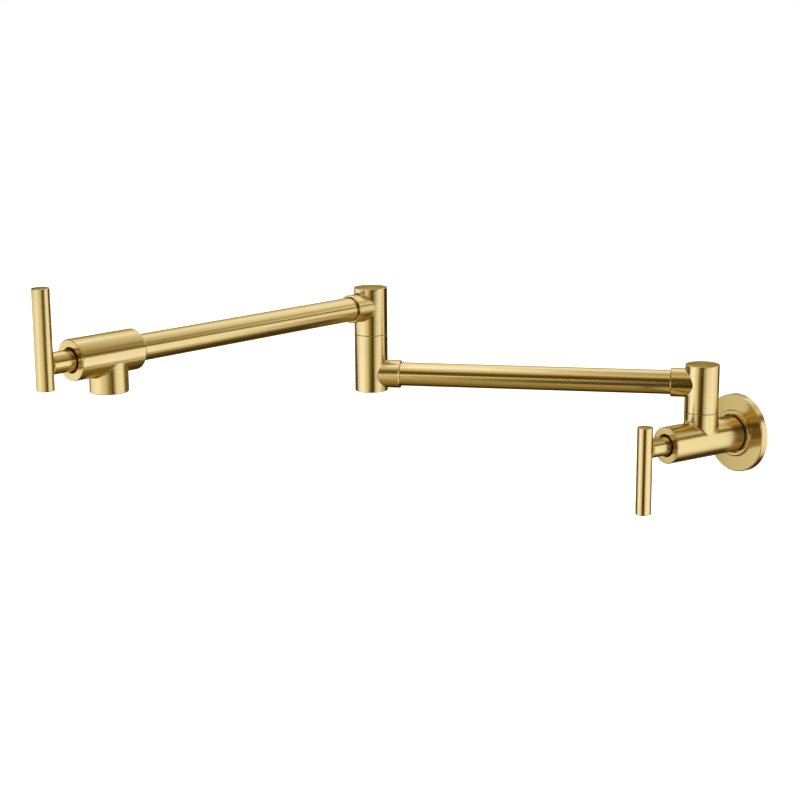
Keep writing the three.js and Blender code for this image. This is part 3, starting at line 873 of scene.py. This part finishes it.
@dataclass(frozen=True)
class WallFlange(SubAssembly):
    """The round cover plate on the wall, with a raised lip round the valve body."""

    radius: float = 33.0
    thickness: float = 6.5
    edge: tuple[float, int] = (0.9, 4)
    back_edge: tuple[float, int] = (0.25, 2)
    bore: float = 15.6
    lip_bore: float = 16.5
    lip_radius: float = 19.7
    lip_height: float = 2.2
    lip_foot: tuple[float, int] = (0.3, 3)
    lip_edge: tuple[float, int] = (1.1, 6)
    lip_gap_depth: float = 3.4
    recess: float = 2.3
    recess_radius: float = 24.9
    ring_groove: float = 16.8
    ring_groove_top: float = 4.8
    gasket_radius: float = 24.6
    gasket_thickness: float = 2.0
    gasket_edge: float = 0.2
    body_radius: float = 15.3
    ring_bottom: float = 2.8
    ring_top: float = 4.4
    ring_rounding: float = 0.7
    ring_steps: int = 5

    def plate(self) -> Shape:
        """Builds the cover plate.

        Returns:
            The plate, standing on the wall.
        """
        lip_top = self.thickness + self.lip_height
        gap_floor = lip_top - self.lip_gap_depth
        return turned([
            (self.ring_groove, self.recess), (self.recess_radius, self.recess), (self.recess_radius, 0),
            (self.radius, 0, *self.back_edge), (self.radius, self.thickness, *self.edge),
            (self.lip_radius, self.thickness, *self.lip_foot),
            (self.lip_radius, lip_top, *self.lip_edge), (self.lip_bore, lip_top, *ROUNDED),
            (self.lip_bore, gap_floor), (self.bore, gap_floor), (self.bore, self.ring_groove_top),
            (self.ring_groove, self.ring_groove_top),
        ], closed=True, sides=FINE_SIDES)

    def build(self) -> None:
        """Makes the plate, its gasket and the rubber ring squeezed round the valve body."""
        self.shop.add("wall_flange", self.plate(), self.place, GOLD)
        radii, heights = (self.ring_groove, self.gasket_radius), (0, self.gasket_thickness)
        self.shop.add("flange_gasket", ring(radii, heights, self.gasket_edge), self.place, RUBBER)
        radii, heights = (self.body_radius, self.ring_groove), (self.ring_bottom, self.ring_top)
        squeezed = ring(radii, heights, self.ring_rounding, self.ring_steps, FINE_SIDES)
        self.shop.add("flange_o_ring", squeezed, self.place, RUBBER)


@dataclass(frozen=True)
class Valve:
    """What the two valves share: the stepped bore for the cartridge behind the front face."""

    radius: float = 15.3
    bore: float = 9.35
    bore_chamfer: float = 0.4
    gallery: float = 10.95
    seat_depth: float = 41.0
    gallery_length: float = 17.0
    passage: float = 5.0
    face_corner: tuple[float, int] = (0.8, 3)

    def bored(self, face: float, passage_end: float) -> Shape:
        """Builds what is bored from the front face.

        Args:
            face: the front face's height on the tee's axis.
            passage_end: how deep the water passage goes below the face.

        Returns:
            The cutter, in the tee's frame.
        """
        seat = face - self.seat_depth
        steps = ((self.passage, seat), (self.gallery, seat + self.gallery_length), (self.bore, face))
        return stepped(face - passage_end, *steps, chamfer=self.bore_chamfer)


@dataclass(frozen=True)
class SpigotSocket:
    """The socket in the lower half of a post: washer recess, spigot thread and water way."""

    washer_recess: float = 12.3
    recess_depth: float = 1.0
    radius: float = 8.8
    depth: float = 11.3
    passage: float = 5.5

    def cutter(self, face: float, end: float) -> Shape:
        """The cutter along z, from the height of the post's open face down to the water way's end."""
        thread = ((self.passage, face - self.depth), (self.radius, face - self.recess_depth))
        return stepped(end, *thread, (self.washer_recess, face))


@dataclass(frozen=True)
class WallValveBody(SubAssembly):
    """The wall valve's body with its upright stub, supply socket and cartridge bore."""

    valve: Valve = Valve()
    socket: SpigotSocket = SpigotSocket()
    back: float = -43.6
    front: float = 38.5
    stub_radius: float = 14.0
    stub_height: float = 23.45
    seam: float = 0.12
    back_corner: tuple[float, int] = (0.5, 1)
    fillet: float = 2.2
    inlet_radius: float = 9.3
    inlet_depth: float = 19.0
    inlet_chamfer: float = 1.2
    water_way_end: float = 5.3

    def build(self) -> None:
        """Makes the body."""
        tee = Tee(
            self.valve.radius, self.back, self.front, self.stub_radius, self.stub_height,
            self.fillet, self.back_corner, self.valve.face_corner, self.seam,
        )
        inlet_end = self.back + self.inlet_depth
        cutters = [
            self.valve.bored(self.front, self.front - self.back - self.inlet_depth / 2),
            stepped(inlet_end, (self.inlet_radius, self.back), chamfer=self.inlet_chamfer),
            laid(self.socket.cutter(self.stub_height, self.water_way_end), SIDEWAYS),
        ]
        self.shop.add("wall_valve_body", carved(tee.solid(), cutters), self.place, GOLD)


@dataclass(frozen=True)
class Sleeve:
    """The sleeve on a post that takes an arm's tube."""

    radius: float = 11.9
    reach: float = 25.8
    chamfer: float = 0.7
    fillet: float = 0.6
    passage: float = 8.0
    bore: float = 10.3
    bore_chamfer: float = 0.25
    tube_stop: float = 13.4

    def cutter(self) -> Shape:
        """The water way and the tube's seat, along the tee's x axis."""
        steps = ((self.passage, self.tube_stop), (self.bore, self.reach))
        return laid(stepped(0.0, *steps, chamfer=self.bore_chamfer), SIDEWAYS)


@dataclass(frozen=True)
class SetScrew(SubAssembly):
    """A socket set screw along z, from its tip to its outer end."""

    node: str
    tip: float
    end: float
    radius: float = 2.0
    point: tuple[float, int] = (0.5, 1)
    head_edge: tuple[float, int] = (0.25, 2)
    socket: float = 1.1
    socket_depth: float = 1.5

    def build(self) -> None:
        """Makes the screw."""
        blank = turned([
            (0, self.tip), (self.radius, self.tip, *self.point),
            (self.radius, self.end, *self.head_edge), (0, self.end),
        ], sides=SMALL_SIDES)
        wrench = bmesh.new()
        add_pin(wrench, self.socket, self.end - self.socket_depth, self.end + CLEAR / 2, 6)
        self.shop.add(self.node, carved(blank, [wrench]), self.place, STEEL)


@dataclass(frozen=True)
class UpperHousing(SubAssembly):
    """The upper half of a post, which turns on the spigot and carries an arm's sleeve."""

    node: str
    screw_node: str
    sleeve: Sleeve = Sleeve()
    radius: float = 14.0
    bottom: float = -23.7
    top: float = 15.9
    seam_corner: tuple[float, int] = (0.12, 1)
    top_corner: tuple[float, int] = (0.5, 3)
    bore: float = 8.8
    bore_top: float = 8.0
    screw_height: float = -19.8
    screw_hole: float = 2.3
    screw_tip: float = 7.3
    screw_end: float = 13.5

    def build(self) -> None:
        """Makes the housing and its retaining screw."""
        tee = Tee(
            self.radius, self.bottom, self.top, self.sleeve.radius, self.sleeve.reach,
            self.sleeve.fillet, self.seam_corner, self.top_corner, self.sleeve.chamfer,
        )
        hole = rod(self.screw_hole, 0, self.radius + CLEAR, SMALL_SIDES)
        cutters = [
            rod(self.bore, self.bottom - CLEAR, self.bore_top),
            self.sleeve.cutter(),
            laid(hole, Vector((0, -1, 0)), UP * self.screw_height),
        ]
        self.shop.add(self.node, carved(tee.solid(), cutters), self.place, GOLD)
        side = -self.place.turn.col[1]
        start = Place(self.place.point(0, 0, self.screw_height), side, self.place.x)
        SetScrew(self.shop, start, self.screw_node, self.screw_tip, self.screw_end).build()


@dataclass(frozen=True)
class LowerHousing(SubAssembly):
    """The lower half of the elbow post, which holds the spigot and takes the lower arm."""

    sleeve: Sleeve = Sleeve()
    socket: SpigotSocket = SpigotSocket()
    radius: float = 14.0
    bottom: float = -14.5
    top: float = 34.2
    bottom_corner: tuple[float, int] = (0.5, 3)
    seam_corner: tuple[float, int] = (0.12, 1)

    def build(self) -> None:
        """Makes the housing."""
        tee = Tee(
            self.radius, self.bottom, self.top, self.sleeve.radius, self.sleeve.reach,
            self.sleeve.fillet, self.bottom_corner, self.seam_corner, self.sleeve.chamfer,
        )
        cutters = [self.socket.cutter(self.top, -self.socket.passage), self.sleeve.cutter()]
        self.shop.add("elbow_lower_housing", carved(tee.solid(), cutters), self.place, GOLD)


@dataclass(frozen=True)
class ArmTube(SubAssembly):
    """A drawn tube along z between its two seats."""

    node: str
    end: float
    start: float = 13.7
    radius: float = 10.0
    wall: float = 1.3
    bore_edge: tuple[float, int] = (0.2, 1)

    def build(self) -> None:
        """Makes the tube."""
        inner = self.radius - self.wall
        tube = turned([
            (inner, self.start, *self.bore_edge), (self.radius, self.start, *BROKEN),
            (self.radius, self.end, *BROKEN), (inner, self.end, *self.bore_edge),
        ], closed=True)
        self.shop.add(self.node, tube, self.place, GOLD, GOLD.material(self.place, Grain.ALONG))


@dataclass(frozen=True)
class SpoutValveBody(SubAssembly):
    """The spout valve's body with its downward outlet, tube seat and cartridge bore."""

    valve: Valve = Valve()
    back: float = -24.4
    front: float = 33.5
    back_corner: tuple[float, int] = (1.6, 6)
    outlet_radius: float = 14.3
    drop: float = 28.1
    mouth_chamfer: float = 0.5
    fillet: float = 2.0
    tube_seat: float = 10.3
    tube_seat_depth: float = 12.8
    water_way: float = 7.0
    aerator_bore: float = 12.1
    aerator_depth: float = 12.1
    aerator_chamfer: float = 0.4

    def build(self) -> None:
        """Makes the body."""
        tee = Tee(
            self.valve.radius, self.back, self.front, self.outlet_radius, self.drop,
            self.fillet, self.back_corner, self.valve.face_corner, self.mouth_chamfer,
        )
        seat_bottom = self.back + self.tube_seat_depth
        steps = ((self.water_way, self.drop - self.aerator_depth), (self.aerator_bore, self.drop))
        cutters = [
            self.valve.bored(self.front, self.front - seat_bottom + CLEAR / 2),
            rod(self.tube_seat, self.back - CLEAR, seat_bottom),
            laid(stepped(0.0, *steps, chamfer=self.aerator_chamfer), SIDEWAYS),
        ]
        self.shop.add("spout_valve_body", carved(tee.solid(), cutters), self.place, GOLD)


@dataclass(frozen=True)
class CartridgeNut(SubAssembly):
    """The slotted ring that screws a cartridge into its valve, below the front face."""

    prefix: str
    radius: float = 9.05
    bore: float = 5.2
    bottom: float = -11.2
    top: float = -6.2
    top_corner: tuple[float, int] = (0.4, 2)
    slot_width: float = 2.4
    slot_depth: float = 1.6

    def build(self) -> None:
        """Makes the nut."""
        nut = turned([
            (self.bore, self.bottom), (self.radius, self.bottom, *BROKEN),
            (self.radius, self.top, *self.top_corner), (self.bore, self.top, *self.top_corner),
        ], closed=True)
        slot = bmesh.new()
        size = Matrix.Diagonal((self.slot_width, 3 * self.radius, 2 * self.slot_depth, 1.0))
        bmesh.ops.create_cube(slot, size=1.0, matrix=Matrix.Translation(UP * self.top) @ size)
        self.shop.add(f"{self.prefix}_cartridge_nut", carved(nut, [slot]), self.place, BRASS)


@dataclass(frozen=True)
class LeverHandle(SubAssembly):
    """A lever: a round hub clamped on the stem, and a cross bar with one long end.

    The underside, where the set screw is, is 1 towards the bar's long end and -1 away from it.
    """

    prefix: str
    underside: float
    hub_radius: float = 8.0
    hub_back: float = -5.6
    hub_front: float = 18.4
    hub_corner: tuple[float, int] = (0.5, 3)
    stem_bore: float = 4.2
    stem_bore_end: float = 8.8
    tenon_radius: float = 3.0
    tenon_end: float = 23.5
    clearance: float = 0.3
    saddle_gap: float = 0.15
    bar_radius: float = 6.4
    bar_axis: float = 22.2
    bar_long: float = 54.7
    bar_short: float = 18.5
    bar_corner: tuple[float, int] = (0.6, 3)
    screw_place: float = 4.2
    screw_hole: float = 2.3
    screw_end: float = 7.5

    def across(self, bm: Shape) -> Shape:
        """Lays a shape along the bar."""
        return laid(bm, SIDEWAYS, UP * self.bar_axis)

    def hub(self) -> Shape:
        """Builds the hub with its tenon, its bores and the saddle that fits round the bar.

        Returns:
            The hub in the valve's frame.
        """
        blank = turned([
            (0, self.hub_back), (self.hub_radius, self.hub_back, *EASED),
            (self.hub_radius, self.hub_front, *self.hub_corner), (self.tenon_radius, self.hub_front),
            (self.tenon_radius, self.tenon_end, *BROKEN), (0, self.tenon_end),
        ])
        side = Vector((self.underside, 0, 0))
        reach = self.hub_radius + CLEAR
        hole = rod(self.screw_hole, 0, reach, SMALL_SIDES)
        saddle = self.across(rod(self.bar_radius + self.saddle_gap, -reach, reach))
        return carved(blank, [
            rod(self.stem_bore, self.hub_back - CLEAR / 2, self.stem_bore_end),
            laid(hole, side, UP * self.screw_place),
            carved(saddle, [rod(self.tenon_radius, 0, 2 * self.bar_axis)]),
        ])

    def bar(self) -> Shape:
        """Builds the bar with the mortise for the hub's tenon.

        Returns:
            The bar in the valve's frame.
        """
        rail = turned([
            (0, -self.bar_short), (self.bar_radius, -self.bar_short, *self.bar_corner),
            (self.bar_radius, self.bar_long, *self.bar_corner), (0, self.bar_long),
        ])
        mortise = rod(self.tenon_radius + self.clearance, 0, self.tenon_end + self.clearance)
        return carved(self.across(rail), [mortise])

    def build(self) -> None:
        """Makes the hub, the bar and the set screw."""
        self.shop.add(f"{self.prefix}_handle_hub", self.hub(), self.place, GOLD)
        rail_gold = GOLD.material(self.place.shifted(0, 0, self.bar_axis).along_x())
        self.shop.add(f"{self.prefix}_handle_bar", self.bar(), self.place, GOLD, rail_gold)
        side = self.place.turn @ Vector((self.underside, 0, 0))
        start = Place(self.place.point(0, 0, self.screw_place), side, self.place.z)
        node = f"{self.prefix}_handle_screw"
        SetScrew(self.shop, start, node, self.stem_bore, self.screw_end).build()


@dataclass(frozen=True)
class Aerator(SubAssembly):
    """The outlet's aerator: a threaded shell, a pierced insert and a washer above it."""

    radius: float = 11.8
    inner: float = 9.8
    ledge: float = 8.8
    bottom: float = 1.0
    ledge_top: float = 2.2
    top: float = 10.5
    insert_radius: float = 9.5
    insert_bottom: float = 2.5
    insert_top: float = 7.5
    hole_radius: float = 0.8
    hole_pitch: float = 3.6
    hole_sides: int = 20
    hole_rings: int = 2
    washer_bore: float = 8.4
    washer_bottom: float = 10.8
    washer_top: float = 11.8
    washer_edge: float = 0.15

    def shell(self) -> Shape:
        """Builds the threaded shell with the ledge that carries the insert.

        Returns:
            The shell.
        """
        return turned([
            (self.ledge, self.bottom, *EASED), (self.radius, self.bottom, *ROUNDED),
            (self.radius, self.top, *BROKEN), (self.inner, self.top, *BROKEN),
            (self.inner, self.ledge_top), (self.ledge, self.ledge_top),
        ], closed=True)

    def insert(self) -> Shape:
        """Builds the pierced insert.

        Returns:
            The insert with its rings of holes.
        """
        low, high = self.insert_bottom, self.insert_top
        disc = turned([
            (0, low), (self.insert_radius, low, *EASED), (self.insert_radius, high, *BROKEN), (0, high),
        ])
        drill = bmesh.new()
        row_pitch = self.hole_pitch * math.sqrt(3) / 2
        steps = range(-self.hole_rings, self.hole_rings + 1)
        spots = [(row, place) for row in steps for place in steps if row + place in steps]
        for row, place in spots:
            x, y = (place + row / 2) * self.hole_pitch, row * row_pitch
            add_pin(drill, self.hole_radius, low - CLEAR / 2, high + CLEAR / 2, self.hole_sides, x, y)
        return carved(disc, [drill])

    def build(self) -> None:
        """Makes the shell, the insert and the washer."""
        radii, heights = (self.washer_bore, self.radius), (self.washer_bottom, self.washer_top)
        self.shop.add("aerator_shell", self.shell(), self.place, GOLD)
        self.shop.add("aerator_insert", self.insert(), self.place, PLASTIC)
        self.shop.add("aerator_washer", ring(radii, heights, self.washer_edge), self.place, RUBBER)


@dataclass(frozen=True)
class SwivelWasher(SubAssembly):
    """The plastic bearing washer in a post's seam."""

    prefix: str
    radii: tuple[float, float] = (8.8, 12.0)
    heights: tuple[float, float] = (-0.9, -0.1)
    edge: float = 0.1

    def build(self) -> None:
        """Makes the washer."""
        washer = ring(self.radii, self.heights, self.edge)
        self.shop.add(f"{self.prefix}_swivel_washer", washer, self.place, PLASTIC)


@dataclass(frozen=True)
class Inside:
    """Pieces inside the valves and posts, which keep the shape of their CAD nodes."""

    shop: Workshop
    layout: Layout

    def build(self) -> None:
        """Dresses every inner piece of the valves and of the swivels."""
        valve = {
            "cartridge_barrel": BRASS, "stem": BRASS, "cartridge_seal": RUBBER, "stem_o_ring": RUBBER,
            "fixed_disc": CERAMIC, "turning_disc": CERAMIC,
        }
        swivel = {
            "swivel_spigot": BRASS, "swivel_o_ring_lower": RUBBER, "swivel_o_ring_upper": RUBBER,
        }
        for prefix, place, insides in (
            ("wall", self.layout.wall_face(), valve),
            ("spout", self.layout.spout_face(), valve),
            ("wall", self.layout.wall_swivel(), swivel),
            ("elbow", self.layout.elbow_swivel_below(), swivel),
        ):
            for name, finish in insides.items():
                self.shop.carry_over(f"{prefix}_{name}", finish.material(place))


# ------------------------------------------------------------------ studio

# how far the studio goes in metres: to the right, towards the camera, and up
LEFTMOST, RIGHTMOST = -1.05, 0.52
FARTHEST, NEAREST = -1.10, 0.742
LOWEST, HIGHEST = -0.50, 0.90


@dataclass(frozen=True)
class View:
    """The photograph's camera, in metres and degrees, its focal length in pixels."""

    aim: tuple[float, float, float] = (-0.14097, -0.250, 0.03385)
    distance: float = 1.38643
    turn: float = 56.95
    height: float = 12.60
    roll: float = -0.44
    focal_length: float = 1671.32
    picture_width: float = 800.0
    sensor_width: float = 36.0

    @property
    def right(self) -> Vector:
        """The level direction to the right of the picture."""
        return Vector((math.cos(math.radians(self.turn)), math.sin(math.radians(self.turn)), 0.0))

    @property
    def near(self) -> Vector:
        """The level direction from the fitting towards the camera."""
        return Vector((math.sin(math.radians(self.turn)), -math.cos(math.radians(self.turn)), 0.0))

    def camera(self) -> None:
        """Makes the camera and gives it to the scene."""
        tilt, roll = math.radians(self.height), math.radians(self.roll)
        forward = -(self.near * math.cos(tilt) + UP * math.sin(tilt))
        over = self.right.cross(forward)
        right = self.right * math.cos(roll) + over * math.sin(roll)
        over = over * math.cos(roll) - self.right * math.sin(roll)
        data = bpy.data.cameras.new("camera")
        data.sensor_width = self.sensor_width
        data.lens = self.focal_length * self.sensor_width / self.picture_width
        data.clip_start = 0.01
        data.clip_end = 100.0
        camera = bpy.data.objects.new("camera", data)
        turn = Matrix((right, over, -forward)).transposed().to_4x4()
        camera.matrix_world = Matrix.Translation(Vector(self.aim) - forward * self.distance) @ turn
        bpy.context.scene.collection.objects.link(camera)
        bpy.context.scene.camera = camera


class Side(Enum):
    """The studio's sides: a board's axis, 0 right, 1 near or 2 up, and its place in metres."""

    FRONT = (1, NEAREST)
    BACK = (1, FARTHEST)
    LEFT = (0, LEFTMOST)
    RIGHT = (0, RIGHTMOST)
    TOP = (2, HIGHEST)
    BOTTOM = (2, LOWEST)


@dataclass(frozen=True)
class Board:
    """A matt board on a side of the studio, which only the metal's reflections show.

    Its shade runs level along the side. Front and back boards run to the right and the others
    towards the camera, through pairs of a place in metres and a shade, where 0 is black and 1
    is white. Its low and high edges are heights, or places to the right for top and bottom.
    The darker a shade is, the less green and blue it keeps.
    """

    side: Side
    low: float
    high: float
    run: tuple[tuple[float, float], ...]
    darkest: float = 0.02
    falls: Colour = (0.85, 1.05, 1.9)

    @property
    def span(self) -> tuple[float, float]:
        """The places where the run starts and ends."""
        return self.run[0][0], self.run[-1][0]

    def material(self, place: Place) -> Material:
        """Makes the board's plain glow, which runs between its shades.

        Args:
            place: the board's frame, which starts where its run starts.

        Returns:
            The material.
        """
        material = bpy.data.materials.new(f"{self.side.name.lower()}_board")
        graph = Graph(material)
        _, local, _ = graph.local_place(place)
        along = graph.node("SeparateXYZ", local).outputs[0]
        first, last = self.span
        ramp = graph.node("ValToRGB", graph.math("DIVIDE", along, (last - first) / MM))
        stops = ramp.color_ramp.elements
        for index, (at, shade) in enumerate(self.run):
            share = (at - first) / (last - first)
            stop = stops[index] if index < 2 else stops.new(share)
            stop.position = share
            stop.color = (*(max(shade, self.darkest) ** fall for fall in self.falls), 1.0)
        graph.show(graph.node("Emission", ramp.outputs[0]))
        material.cycles.emission_sampling = "NONE"
        return material

    def build(self, view: View) -> None:
        """Makes the board.

        Args:
            view: the camera's view, which gives the level directions.
        """
        axes = (view.right, view.near, UP)
        facing, distance = self.side.value
        along = 0 if facing == 1 else 1
        across = 3 - facing - along
        first, last = self.span
        origin = axes[facing] * distance + axes[along] * first + axes[across] * self.low
        place = Place(origin, axes[along].cross(axes[across]), axes[along])
        size = Matrix.Diagonal(((last - first) / MM, (self.high - self.low) / MM, 1.0, 1.0))
        corner = Matrix.Translation((0.5, 0.5, 0.0))
        bm = bmesh.new()
        bmesh.ops.create_grid(
            bm, x_segments=1, y_segments=1, size=0.5, matrix=place.matrix @ size @ corner
        )
        board = new_object(f"{self.side.name.lower()}_board", bm, self.material(place))
        board.visible_camera = False
        board.visible_diffuse = False
        board.visible_transmission = False
        board.visible_shadow = False


@dataclass(frozen=True)
class Lamp:
    """A soft box lamp; its middle is metres to the right, towards the camera, and up."""

    name: str
    middle: tuple[float, float, float]
    width: float
    height: float
    glow: float = 0.6

    def build(self, view: View) -> None:
        """Makes the lamp, aimed at the fitting.

        Args:
            view: the camera's view.
        """
        axes = (view.right, view.near, UP)
        origin = sum((axis * value for axis, value in zip(axes, self.middle)), Vector())
        data = bpy.data.lights.new(self.name, "AREA")
        data.shape = "RECTANGLE"
        data.size = self.width
        data.size_y = self.height
        data.energy = self.glow * math.pi * self.width * self.height
        lamp = bpy.data.objects.new(self.name, data)
        lamp.rotation_euler = (Vector(view.aim) - origin).to_track_quat("-Z", "Y").to_euler()
        lamp.location = origin
        lamp.visible_camera = False
        lamp.visible_glossy = False
        bpy.context.scene.collection.objects.link(lamp)


@dataclass(frozen=True)
class Studio:
    """Pale floor, white surroundings, soft lamps and the boards that shade the metal."""

    view: View = View()
    floor_height: float = -1.2
    floor_size: float = 24.0
    floor_colour: Colour = (0.9, 0.9, 0.9)
    floor_glow: float = 0.75
    daylight: float = 0.75
    boards: tuple[Board, ...] = (
        # in front, from left to right: pale boards that fade to black at the middle, then
        # low boards that are pale again; the right side is dark higher up
        Board(Side.FRONT, LOWEST, -0.10, ((LEFTMOST, 1.0), (-0.60, 0.65), (-0.45, 0.1), (-0.40, 0.0))),
        Board(Side.FRONT, -0.10, -0.02, (
            (LEFTMOST, 1.0), (-0.60, 0.6), (-0.45, 0.3), (-0.30, 0.3), (-0.22, 0.0),
        )),
        Board(Side.FRONT, LOWEST, -0.10, ((-0.40, 0.0), (-0.10, 0.0), (0.05, 0.6), (RIGHTMOST, 1.3))),
        Board(Side.FRONT, -0.10, -0.02, ((-0.22, 0.0), (-0.10, 0.0), (0.05, 0.6), (RIGHTMOST, 1.3))),
        Board(Side.FRONT, -0.02, 0.07, ((LEFTMOST, 1.1), (-0.55, 0.8), (-0.38, 0.1), (RIGHTMOST, 0.0))),
        Board(Side.FRONT, 0.07, 0.16, (
            (LEFTMOST, 1.1), (-0.50, 0.9), (-0.32, 0.8), (-0.20, 0.0), (RIGHTMOST, 0.0),
        )),
        Board(Side.FRONT, 0.16, 0.60, ((LEFTMOST, 0.1), (RIGHTMOST, 0.0))),
        Board(Side.FRONT, 0.60, HIGHEST, ((LEFTMOST, 0.25), (RIGHTMOST, 0.1))),
        # right, from low to high: dark at the back and pale towards the camera, then the
        # other way round
        Board(Side.RIGHT, LOWEST, -0.18, (
            (FARTHEST, 0.2), (-0.20, 0.1), (0.0, 0.9), (0.30, 1.2), (NEAREST, 1.1),
        )),
        Board(Side.RIGHT, -0.18, 0.25, (
            (FARTHEST, 0.0), (-0.35, 0.0), (-0.20, 0.8), (0.30, 1.1), (NEAREST, 0.8),
        )),
        Board(Side.RIGHT, 0.25, 0.40, ((FARTHEST, 0.6), (-0.60, 0.6), (0.00, 0.15), (NEAREST, 0.3))),
        Board(Side.RIGHT, 0.40, 0.56, (
            (FARTHEST, 1.2), (-0.60, 1.2), (0.00, 0.8), (0.25, 0.0), (NEAREST, 0.0),
        )),
        Board(Side.RIGHT, 0.56, HIGHEST, ((FARTHEST, 1.0), (-0.60, 1.0), (0.10, 0.2), (NEAREST, 0.45))),
        # left, from low to high: dark at the back, then a pale strip, then dark
        Board(Side.LEFT, LOWEST, -0.04, (
            (FARTHEST, 0.0), (-0.40, 0.0), (-0.24, 0.7), (0.20, 1.3), (NEAREST, 1.0),
        )),
        Board(Side.LEFT, -0.04, 0.12, ((FARTHEST, 1.4), (-0.35, 1.4), (0.20, 0.9), (NEAREST, 1.3))),
        Board(Side.LEFT, 0.12, HIGHEST, ((FARTHEST, 0.2), (0.20, 0.05), (NEAREST, 0.6))),
        # above, below and behind
        Board(Side.TOP, LEFTMOST, -0.25, ((FARTHEST, 0.9), (0.10, 1.3), (0.40, 0.7), (NEAREST, 0.65))),
        Board(Side.TOP, -0.25, RIGHTMOST, (
            (FARTHEST, 1.1), (-0.60, 1.2), (0.10, 0.35), (NEAREST, 0.7),
        )),
        Board(Side.BOTTOM, LEFTMOST, 0.15, (
            (FARTHEST, 0.4), (-0.60, 0.1), (-0.30, 0.0), (0.30, 0.3), (NEAREST, 0.4),
        )),
        Board(Side.BOTTOM, 0.15, RIGHTMOST, (
            (FARTHEST, 0.5), (-0.30, 0.0), (-0.12, 0.0), (0.02, 0.9), (0.20, 0.3),
        )),
        Board(Side.BOTTOM, 0.15, RIGHTMOST, ((0.20, 0.3), (NEAREST, 0.1))),
        Board(Side.BACK, LOWEST, 0.00, ((LEFTMOST, 0.5), (RIGHTMOST, 0.1))),
        Board(Side.BACK, 0.00, 0.30, ((LEFTMOST, 0.5), (RIGHTMOST, 0.35))),
        Board(Side.BACK, 0.30, HIGHEST, (
            (LEFTMOST, 0.1), (-0.60, 0.7), (-0.20, 1.0), (RIGHTMOST, 0.5),
        )),
    )
    lamps: tuple[Lamp, ...] = (
        Lamp("left_lamp", (-1.35, 0.55, 0.1), width=0.9, height=1.2),
        Lamp("right_lamp", (0.80, 0.55, 0.1), width=0.9, height=1.2),
        Lamp("top_lamp", (-0.25, -0.45, 1.25), width=1.4, height=0.7),
    )

    def floor(self) -> None:
        """Makes the pale floor, far below the fitting."""
        material = bpy.data.materials.new("pale_floor")
        graph = Graph(material)
        matt = graph.node("BsdfDiffuse", (*self.floor_colour, 1.0))
        strength = graph.math("MULTIPLY", graph.seen(), self.floor_glow)
        glow = graph.node("Emission", None, strength)
        graph.show(graph.node("AddShader", matt.outputs[0], glow.outputs[0]))
        bm = bmesh.new()
        bmesh.ops.create_grid(
            bm, x_segments=1, y_segments=1, size=self.floor_size / 2,
            matrix=Matrix.Translation(UP * self.floor_height),
        )
        new_object("floor", bm, material)

    def surroundings(self) -> None:
        """Makes the white surroundings, at a plain level for matt surfaces."""
        world = bpy.data.worlds.new("surroundings")
        bpy.context.scene.world = world
        graph = Graph(world, "OutputWorld")
        level = graph.between(graph.seen(), self.daylight, 1.0)
        graph.show(graph.node("Background", (1.0, 1.0, 1.0, 1.0), level))
        world.cycles.sampling_method = "NONE"

    def build(self) -> None:
        """Sets the floor, surroundings, boards, lamps and camera."""
        self.floor()
        self.surroundings()
        for piece in (*self.boards, *self.lamps):
            piece.build(self.view)
        self.view.camera()
        bpy.context.scene.view_settings.view_transform = "Standard"
        log.info("studio: %d boards, %d lamps", len(self.boards), len(self.lamps))


# ------------------------------------------------------------------ assembly


def main() -> None:
    """Builds and dresses the fitting, then its studio."""
    logging.basicConfig(level=logging.INFO, format="%(name)s: %(message)s")
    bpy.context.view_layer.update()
    layout = Layout.read(frame["joints"])
    shop = Workshop(frame["nodes"], frame["record"]["behaviour"]["bodies"])
    lower_start, upper_start = layout.lower_arm_start(), layout.upper_arm_start()
    spout_body = SpoutValveBody(shop, layout.spout_tee())

    for part in (
        WallFlange(shop, Place(Vector(), OUT_OF_WALL, UP)),
        WallValveBody(shop, layout.wall_tee()),
        spout_body,
        CartridgeNut(shop, layout.wall_face(), "wall"),
        CartridgeNut(shop, layout.spout_face(), "spout"),
        LeverHandle(shop, layout.wall_face(), "wall", underside=1.0),
        LeverHandle(shop, layout.spout_face(), "spout", underside=-1.0),
        UpperHousing(shop, lower_start, "wall_swivel_housing", "wall_swivel_screw"),
        UpperHousing(shop, upper_start, "elbow_upper_housing", "elbow_screw"),
        LowerHousing(shop, layout.lower_arm_end()),
        SwivelWasher(shop, layout.wall_swivel(), "wall"),
        SwivelWasher(shop, layout.elbow_swivel_below(), "elbow"),
        ArmTube(shop, lower_start.along_x(), "lower_tube", end=264.3),
        ArmTube(shop, upper_start.along_x(), "upper_tube", end=266.1),
        Aerator(shop, layout.outlet_mouth(spout_body.drop)),
        Inside(shop, layout),
        Studio(),
    ):
        part.build()


if __name__ == "__main__":
    main()
